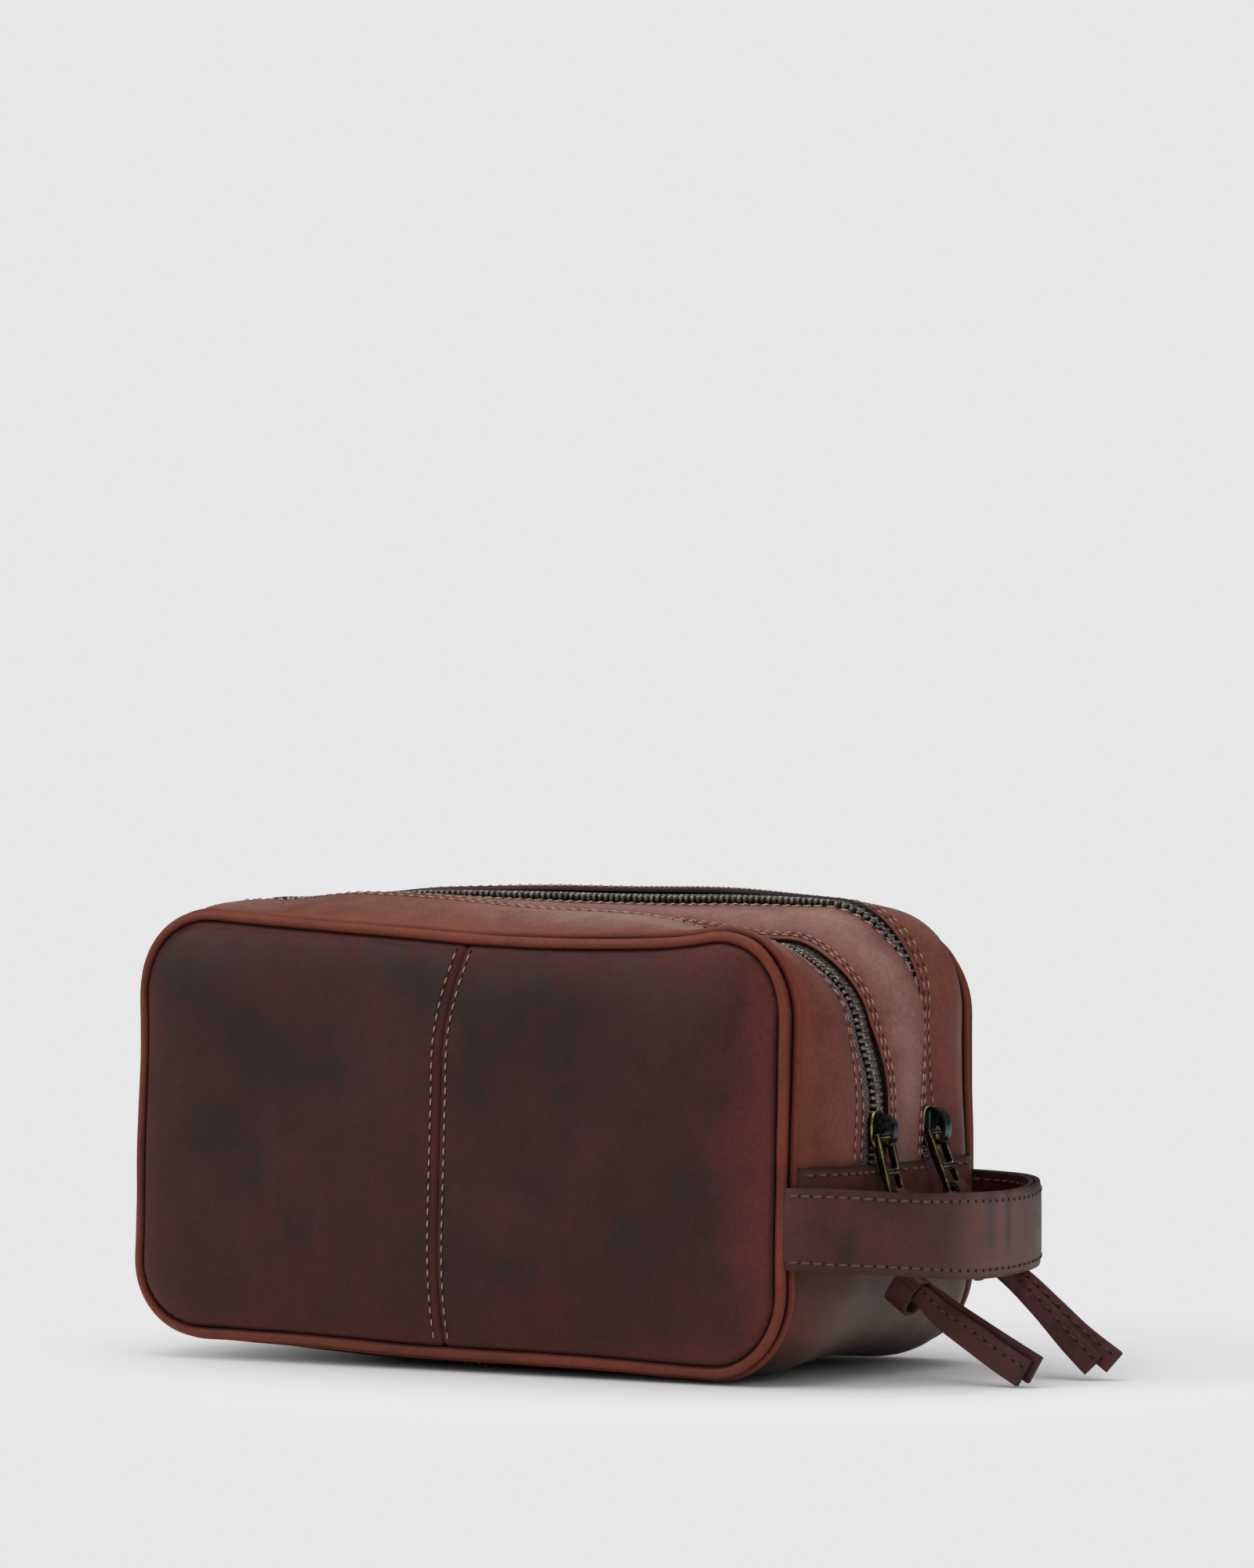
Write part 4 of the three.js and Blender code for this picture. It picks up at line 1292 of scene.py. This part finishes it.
def lengths_along(line):
    """How far along a line each of its points lies."""
    return np.concatenate([[0], np.cumsum(np.linalg.norm(np.diff(line, axis=0), axis=1))])


def leather_strip(name, steps, where, goods, holder, *nodes, worn=None):
    """A strip with its thickness to both sides, and with dark cut edges."""
    sheet = cut_sheet(name, *steps)
    if worn:
        mark(sheet, **worn(*shares_of(sheet)))
    wrap(sheet, where)
    finish_sheet(sheet, goods, holder, *nodes, offset=0.0)


# %% The pulls
TAILS = []


def loop_line(knot, bar):
    """The line of the strip from the knot, round the bar of the link and back."""
    way = (knot - bar) / np.linalg.norm(knot - bar)
    cross = np.array([-way[1], way[0]])
    neck, knot_half = cross * LOOP_RADIUS * LOOP_NECK, cross * 0.9
    turns = np.linspace(0, math.pi, 9)
    path = [knot + knot_half + way, bar + neck + way * 9]
    path += [bar + LOOP_RADIUS * (cross * math.cos(a) - way * math.sin(a)) for a in turns]
    return np.array(path + [bar - neck + way * 9, knot - knot_half + way])


def pull(side, sign):
    shape, body = PULLS[side], side + "_pull"
    tilt, turn = math.radians(LINK_TILT[side]), math.radians(shape["turn"])
    bar = np.array([PIVOT[0] + BAR_DOWN * math.sin(tilt), PIVOT[1] - BAR_DOWN * math.cos(tilt)])
    knot = np.array(shape["tails"][0][0])
    path = loop_line(knot, bar)
    gone = lengths_along(path)
    gone /= gone[-1]
    axis = np.array([math.cos(turn), math.sin(turn)])

    def loop(along, across):
        x, z = (np.interp(along, gone, path[:, i]) for i in (0, 1))
        return stack(x, sign * ZIP_Y + (across - 0.5) * LOOP_WIDTH, z)

    def collar(along, across):
        angle = along * 2.12 * math.pi - 0.55 * math.pi
        grow = 1 + 0.13 * along
        a = signed_power(np.cos(angle), KNOT_POWER) * KNOT_WIDE * grow
        b = signed_power(np.sin(angle), KNOT_POWER) * KNOT_DEEP * grow
        far = (across - 0.5) * KNOT_LONG + 0.8 * np.sin(angle)
        x, z = knot[0] + axis[0] * far - axis[1] * a, knot[1] + axis[1] * far + axis[0] * a
        return stack(x, sign * ZIP_Y + b, z)

    leather_strip(side + "_pull_loop", (60, 4), loop, LOOP_GOODS, body, side + "_pull_strap")
    leather_strip(side + "_knot", (64, 8), collar, KNOT_GOODS, body)
    for number, (line, offset) in enumerate(zip(shape["tails"], TAIL_OFFSETS)):
        def tail(along, across, line=line, offset=offset):
            place, heading = along_line(line, along)
            width = np.interp(along, np.linspace(0, 1, 6), shape["widths"])
            far = (across - 0.5) * width
            lean = (across - 0.5) * shape["lean"] * rise(along, 0, 0.3)
            y = sign * ZIP_Y + offset * (0.75 + 0.45 * along) + lean
            return stack(place[:, 0] - heading[:, 1] * far, y, place[:, 1] + heading[:, 0] * far)

        leather_strip(f"{side}_tail_{number}", (40, 8), tail, TAIL_GOODS, body)
        TAILS.append((f"{side}_tail_stitches_{number}", tail, body))


for side, sign in SIDES:
    pull(side, sign)
print("pulls made")

# %% [markdown]
# ## The handle
# The handle is two straps, back to back and sewn along both edges. It leaves one side seam, makes a full
# bow and goes into the other. It droops a little in the middle under its own weight. The outer strap is
# slightly padded, and both cut edges are burnished dark.

# %% The handle
HANDLE_X, HANDLE_REACH, HANDLE_HALF = 125.5, 45.0, 62.8
HANDLE_POWER = 2 / 2.3
HANDLE_LOW, HANDLE_WIDTH = 37.8, 26.2
HANDLE_DROOP, HANDLE_FLARE = 3.2, 1.2
HANDLE = leather("strap_leather", "#2f1412", "#55231b", "#7a5c55", 1.8, 4.4, 0.22)
HANDLE_GOODS = ("strap_leather", 1.7, 0.35, HANDLE, CUT_EDGE)
HANDLE_BEND = ("root", "handle", (0.127, 0, 0.05), (0.150, 0, 0.05))


def handle_at(along, across, depth):
    """Points of the handle: along its bow, across its width, and depth mm under the outer strap."""
    angle = (along - 0.5) * math.pi * 0.999
    x = HANDLE_X + (HANDLE_REACH - depth) * signed_power(np.cos(angle), HANDLE_POWER)
    y = (HANDLE_HALF - depth) * signed_power(np.sin(angle), HANDLE_POWER)
    x = x - 1.6 * rise(np.abs(y), 57, 5.5)
    droop = (HANDLE_DROOP + HANDLE_FLARE * (1 - across)) * (1 - (y / HANDLE_HALF) ** 2)
    wave = 0.35 * np.sin(along * 19) * (across - 0.5)
    tilt = 0.3 * (x - HANDLE_X) / HANDLE_REACH
    return stack(x, y, HANDLE_LOW + HANDLE_WIDTH * across - droop + wave + tilt)


def handle_wear(along, across):
    """The bow is rubbed lighter where it is carried, with a few dark and red streaks across it."""
    bow = 0.7 * hump(along, 0.5, 0.13) * (0.75 + 0.25 * np.abs(2 * across - 1))
    streaks = 0.55 * hump(along, 0.506, 0.006) + 0.4 * hump(along, 0.462, 0.012)
    red = 0.14 * hump(along, 0.42, 0.05) + 0.2 * hump(along, 0.487, 0.008)
    rim = 0.5 * fade(across, 0.05) + 0.25 * fade(1 - across, 0.05)
    return {"rub": bow, "stain": streaks * rise(across, 0.2, 0.3), "red_tint_and_highlight": red, "shade": rim}


for name, depth, pad in (("handle_outer", 0.9, 0.5), ("handle_inner", 2.9, 0.0)):
    def where(along, across):
        return handle_at(along, across, depth - pad * (1 - (2 * np.abs(across - 0.5)) ** 6))

    node = name + "_strap"
    leather_strip(name, (150, 12), where, HANDLE_GOODS, HANDLE_BEND, node, worn=handle_wear)
print("handle made")

# %% [markdown]
# ## The stitches
# Over a thousand stitches hold the bag together. Each is a short length of waxed thread that bows up a
# little, with a disc of painted shade for the hole at its end. One is modelled, and copies of it lie along
# each seam.

# %% One stitch
# A nearly black disc of painted shade stands in for each stitch hole.
HOLE_SHADE, hole_shade_tree = new_material("stitch_hole_shade")
hole_shade_tree.principled(srgb("#120b0a"), 0.9)
STITCH, TAIL_STITCH = 4.0, 3.2


def make_stitch(colors, pitch, length, radius, hole_shade_size):
    """One stitch along X with a disc of painted shade for the hole at one end. The thread is a stretched
    ball whose ends dip.
    """
    maker = bpy.ops.mesh.primitive_uv_sphere_add
    thread = add_mesh("stitch", maker, segments=6, ring_count=8, radius=1, rotation=(0, QUARTER, 0))
    freeze()
    x, y, z = points_of(thread).T
    thick = radius * (0.55 + 0.45 * (1 - np.abs(x) ** 3))
    height = z * thick * 0.85 + 0.24 - 0.38 * x**4
    set_points(thread, stack(x * pitch * length / 2, y * thick + 0.10 * x, height))
    dress(thread, cloth(*colors, 800, 0.6))
    hole_shade = add_mesh(
        "hole_shade", bpy.ops.mesh.primitive_cylinder_add, vertices=8, radius=MM, depth=0.3 * MM,
        location=(pitch / 2 * MM, 0, -0.08 * MM),
    )
    hole_shade.scale = (*hole_shade_size, 1)
    freeze()
    dress(hole_shade, HOLE_SHADE)
    thread.select_set(True)
    bpy.context.view_layer.objects.active = thread
    bpy.ops.object.join()
    return thread


light_stitch, dark_stitch, tail_stitch = stitches = [
    make_stitch(("sewing_thread", "#6b4a40", "#c8a592"), STITCH, 0.64, 0.27, (0.85, 0.24)),
    make_stitch(("dark_thread", "#3a2a25", "#6b5348"), STITCH, 0.86, 0.52, (0.5, 0.5)),
    make_stitch(("tail_thread", "#2a1713", "#6a463b"), TAIL_STITCH, 0.74, 0.34, (0.8, 0.42)),
]
print("kinds of stitch:", len(stitches))

# %% Sewing
GUSSET_ROWS, BAND_ROWS = {"front": (2.1, 6.8), "rear": (2.0, 5.2)}, (1.5, 3.6)
THREAD_OUT, THREAD_FLOOR = 0.05, 0.55
LAP_ROW, SEAM_ROW, ROW_END = 2.3, 2.75, 3.4
HANDLE_ROWS, HANDLE_SIDES = (0.1, 0.9), ((-0.33, 1), (3.82, -1))
TAIL_ROW, TAIL_ENDS, TAIL_DEPTH = 0.68, (0.16, 0.97), 1.1


def steps(start, end, pitch=STITCH):
    count = int(abs(end - start) / pitch)
    return start + (np.arange(count) + 0.5) * (end - start) / count


def sew(name, frames, holder, stitch=light_stitch):
    """A row of stitches, none of them in the floor. Gives how many there are."""
    here = frames[0]
    here[:, 2] = np.maximum(here[:, 2], THREAD_FLOOR)
    on_strap = "handle" in name or "tail" in name
    attach(copies(name, stitch, frames), "strap_leather" if on_strap else "gusset_leather", holder)
    return len(here)


def sew_side(side, sign):
    """The rows beside the zip, at both laps and beside the middle seams of one side."""
    bend, total = BENDS[side], 0
    s = steps(S_LAP + 0.8, MIRROR_LAP - 0.8)
    rows = [("gusset", gusset_edge(s, side) + away, bend) for away in GUSSET_ROWS[side]]
    rows += [("band", band_edge(s, side) - away, "root") for away in BAND_ROWS]
    for number, (part, y, holder) in enumerate(rows):
        out = THREAD_OUT + (gusset_out(s, y, side) if part == "gusset" else band_out(s, y))
        frames = frames_of(lambda s, y: skin(s, y, out), s, sign * y)
        total += sew(f"{side}_{part}_stitches_{number % 2}", frames, holder)
    for number, s in enumerate((S_LAP - LAP_ROW, MIRROR_LAP + LAP_ROW)):
        y = steps(sign * 1.0, sign * 55.5)
        frames = frames_of(lambda y, s: skin(s, y, lap(s, y) + THREAD_OUT), y, s, turn=-1)
        total += sew(f"{side}_lap_stitches_{number}", frames, bend, dark_stitch)
    for number, offset in enumerate((-SEAM_ROW, SEAM_ROW)):
        def on_row(z, past):
            return on_face(middle_seam(z, side) + past, z, side, sign, THREAD_OUT)

        z = steps(SEAM_BOTTOM + ROW_END, SEAM_TOP - ROW_END)
        frames = frames_of(on_row, z, offset, turn=-sign)
        total += sew(f"{side}_seam_stitches_{number}", frames, bend)
        y, s = steps(sign * 1.0, sign * 58.0), SEAM_X + offset
        out = lap(s, y)
        ways = frames_of(lambda y, s: skin(s, y, out), y, s, turn=-1)[1:]
        total += sew(f"{side}_base_stitches_{number}", (skin(s, y, out + THREAD_OUT), *ways), bend)
    return total


total = sum(sew_side(side, sign) for side, sign in SIDES)
for number, (depth, turn) in enumerate(HANDLE_SIDES):
    for row, level in enumerate(HANDLE_ROWS):
        def at_depth(along, across):
            return handle_at(along, np.full_like(along, across), depth)

        share = np.linspace(0, 1, 4001)
        gone = lengths_along(at_depth(share, level))
        t = np.interp(steps(2.0, gone[-1] - 2.0), gone, share)
        frames = frames_of(at_depth, t, level, 0.002, 0.01, turn)
        total += sew(f"handle_stitches_{number}_{row}", frames, HANDLE_BEND, dark_stitch)
for name, tail, body in TAILS:
    t = steps(*TAIL_ENDS, TAIL_STITCH / 50)
    here, along, across, normal = frames_of(tail, t, TAIL_ROW, 0.01, 0.05)
    total += sew(name, (here - normal * TAIL_DEPTH, along, across, -normal), body, tail_stitch)
print("stitches:", total)
for stitch in stitches:
    bpy.data.objects.remove(stitch)

# %% [markdown]
# ## The floor and the light
# The floor is pale and plain. Near the bag it is a real surface that takes the shadow, and further
# away it turns into the plain colour of the background, so that no horizon shows.

# %% Floor, backdrop and light
BACKGROUND, FLOOR_GREY, WHITE = srgb("#e7e7e7"), (0.75, 0.75, 0.75, 1), (1, 1, 1, 1)
LAMPS = (
    ("top_light", (-0.1, -0.1, 1.5), (0, 0, 0.1), 1.3, 12),
    ("front_left_light", (-1.3, -1.4, 0.9), (0, 0, 0.08), 1.0, 12),
    ("right_light", (1.6, -0.9, 0.9), (0.1, 0, 0.08), 0.7, 4),
)


def make_floor():
    floor = disc("floor", 96, 12)
    material, t = new_material("pale_floor")
    moved = t.add("VectorMath", {0: t.place(), 1: (0.06, 0.02, 0)}, operation="SUBTRACT")
    far = t.add("VectorMath", {0: moved}, 1, operation="LENGTH")
    lit = t.add("BsdfDiffuse", {"Color": FLOOR_GREY})
    plain = t.add("Emission", {"Color": BACKGROUND, "Strength": 1.0})
    seen = t.add("MixShader", {0: t.ramp(far, 0.11, 0.29), 1: lit, 2: plain})
    t.end(t.add("MixShader", {0: t.add("LightPath", {}), 1: lit, 2: seen}))
    dress(floor, material)


def make_world():
    """White light from all round, the plain background for the camera and a dim one for mirrors."""
    world = bpy.data.worlds.new("studio")
    bpy.context.scene.world = world
    world.use_nodes = True
    t = Tree(world.node_tree)
    shown, light, mirrored = (
        t.add("Background", {"Color": color, "Strength": strength})
        for color, strength in ((BACKGROUND, 1.0), (WHITE, 0.6), (WHITE, 0.14))
    )
    unseen = t.add("MixShader", {0: t.add("LightPath", {}, 3), 1: light, 2: mirrored})
    t.end(t.add("MixShader", {0: t.add("LightPath", {}), 1: unseen, 2: shown}), "World")


def softbox(name, place, target, size, power):
    way = Vector(target) - Vector(place)
    turn = way.to_track_quat("-Z", "Y").to_euler()
    bpy.ops.object.light_add(type="AREA", location=place, rotation=turn)
    lamp = bpy.context.object
    lamp.name = name
    lamp.data.shape = "RECTANGLE"
    lamp.data.size = lamp.data.size_y = size
    lamp.data.energy = power


make_floor()
make_world()
for lamp in LAMPS:
    softbox(*lamp)
bpy.context.scene.view_settings.view_transform = "Standard"
print("lamps:", len(LAMPS))

# %% Leave edit mode with nothing selected
pick()
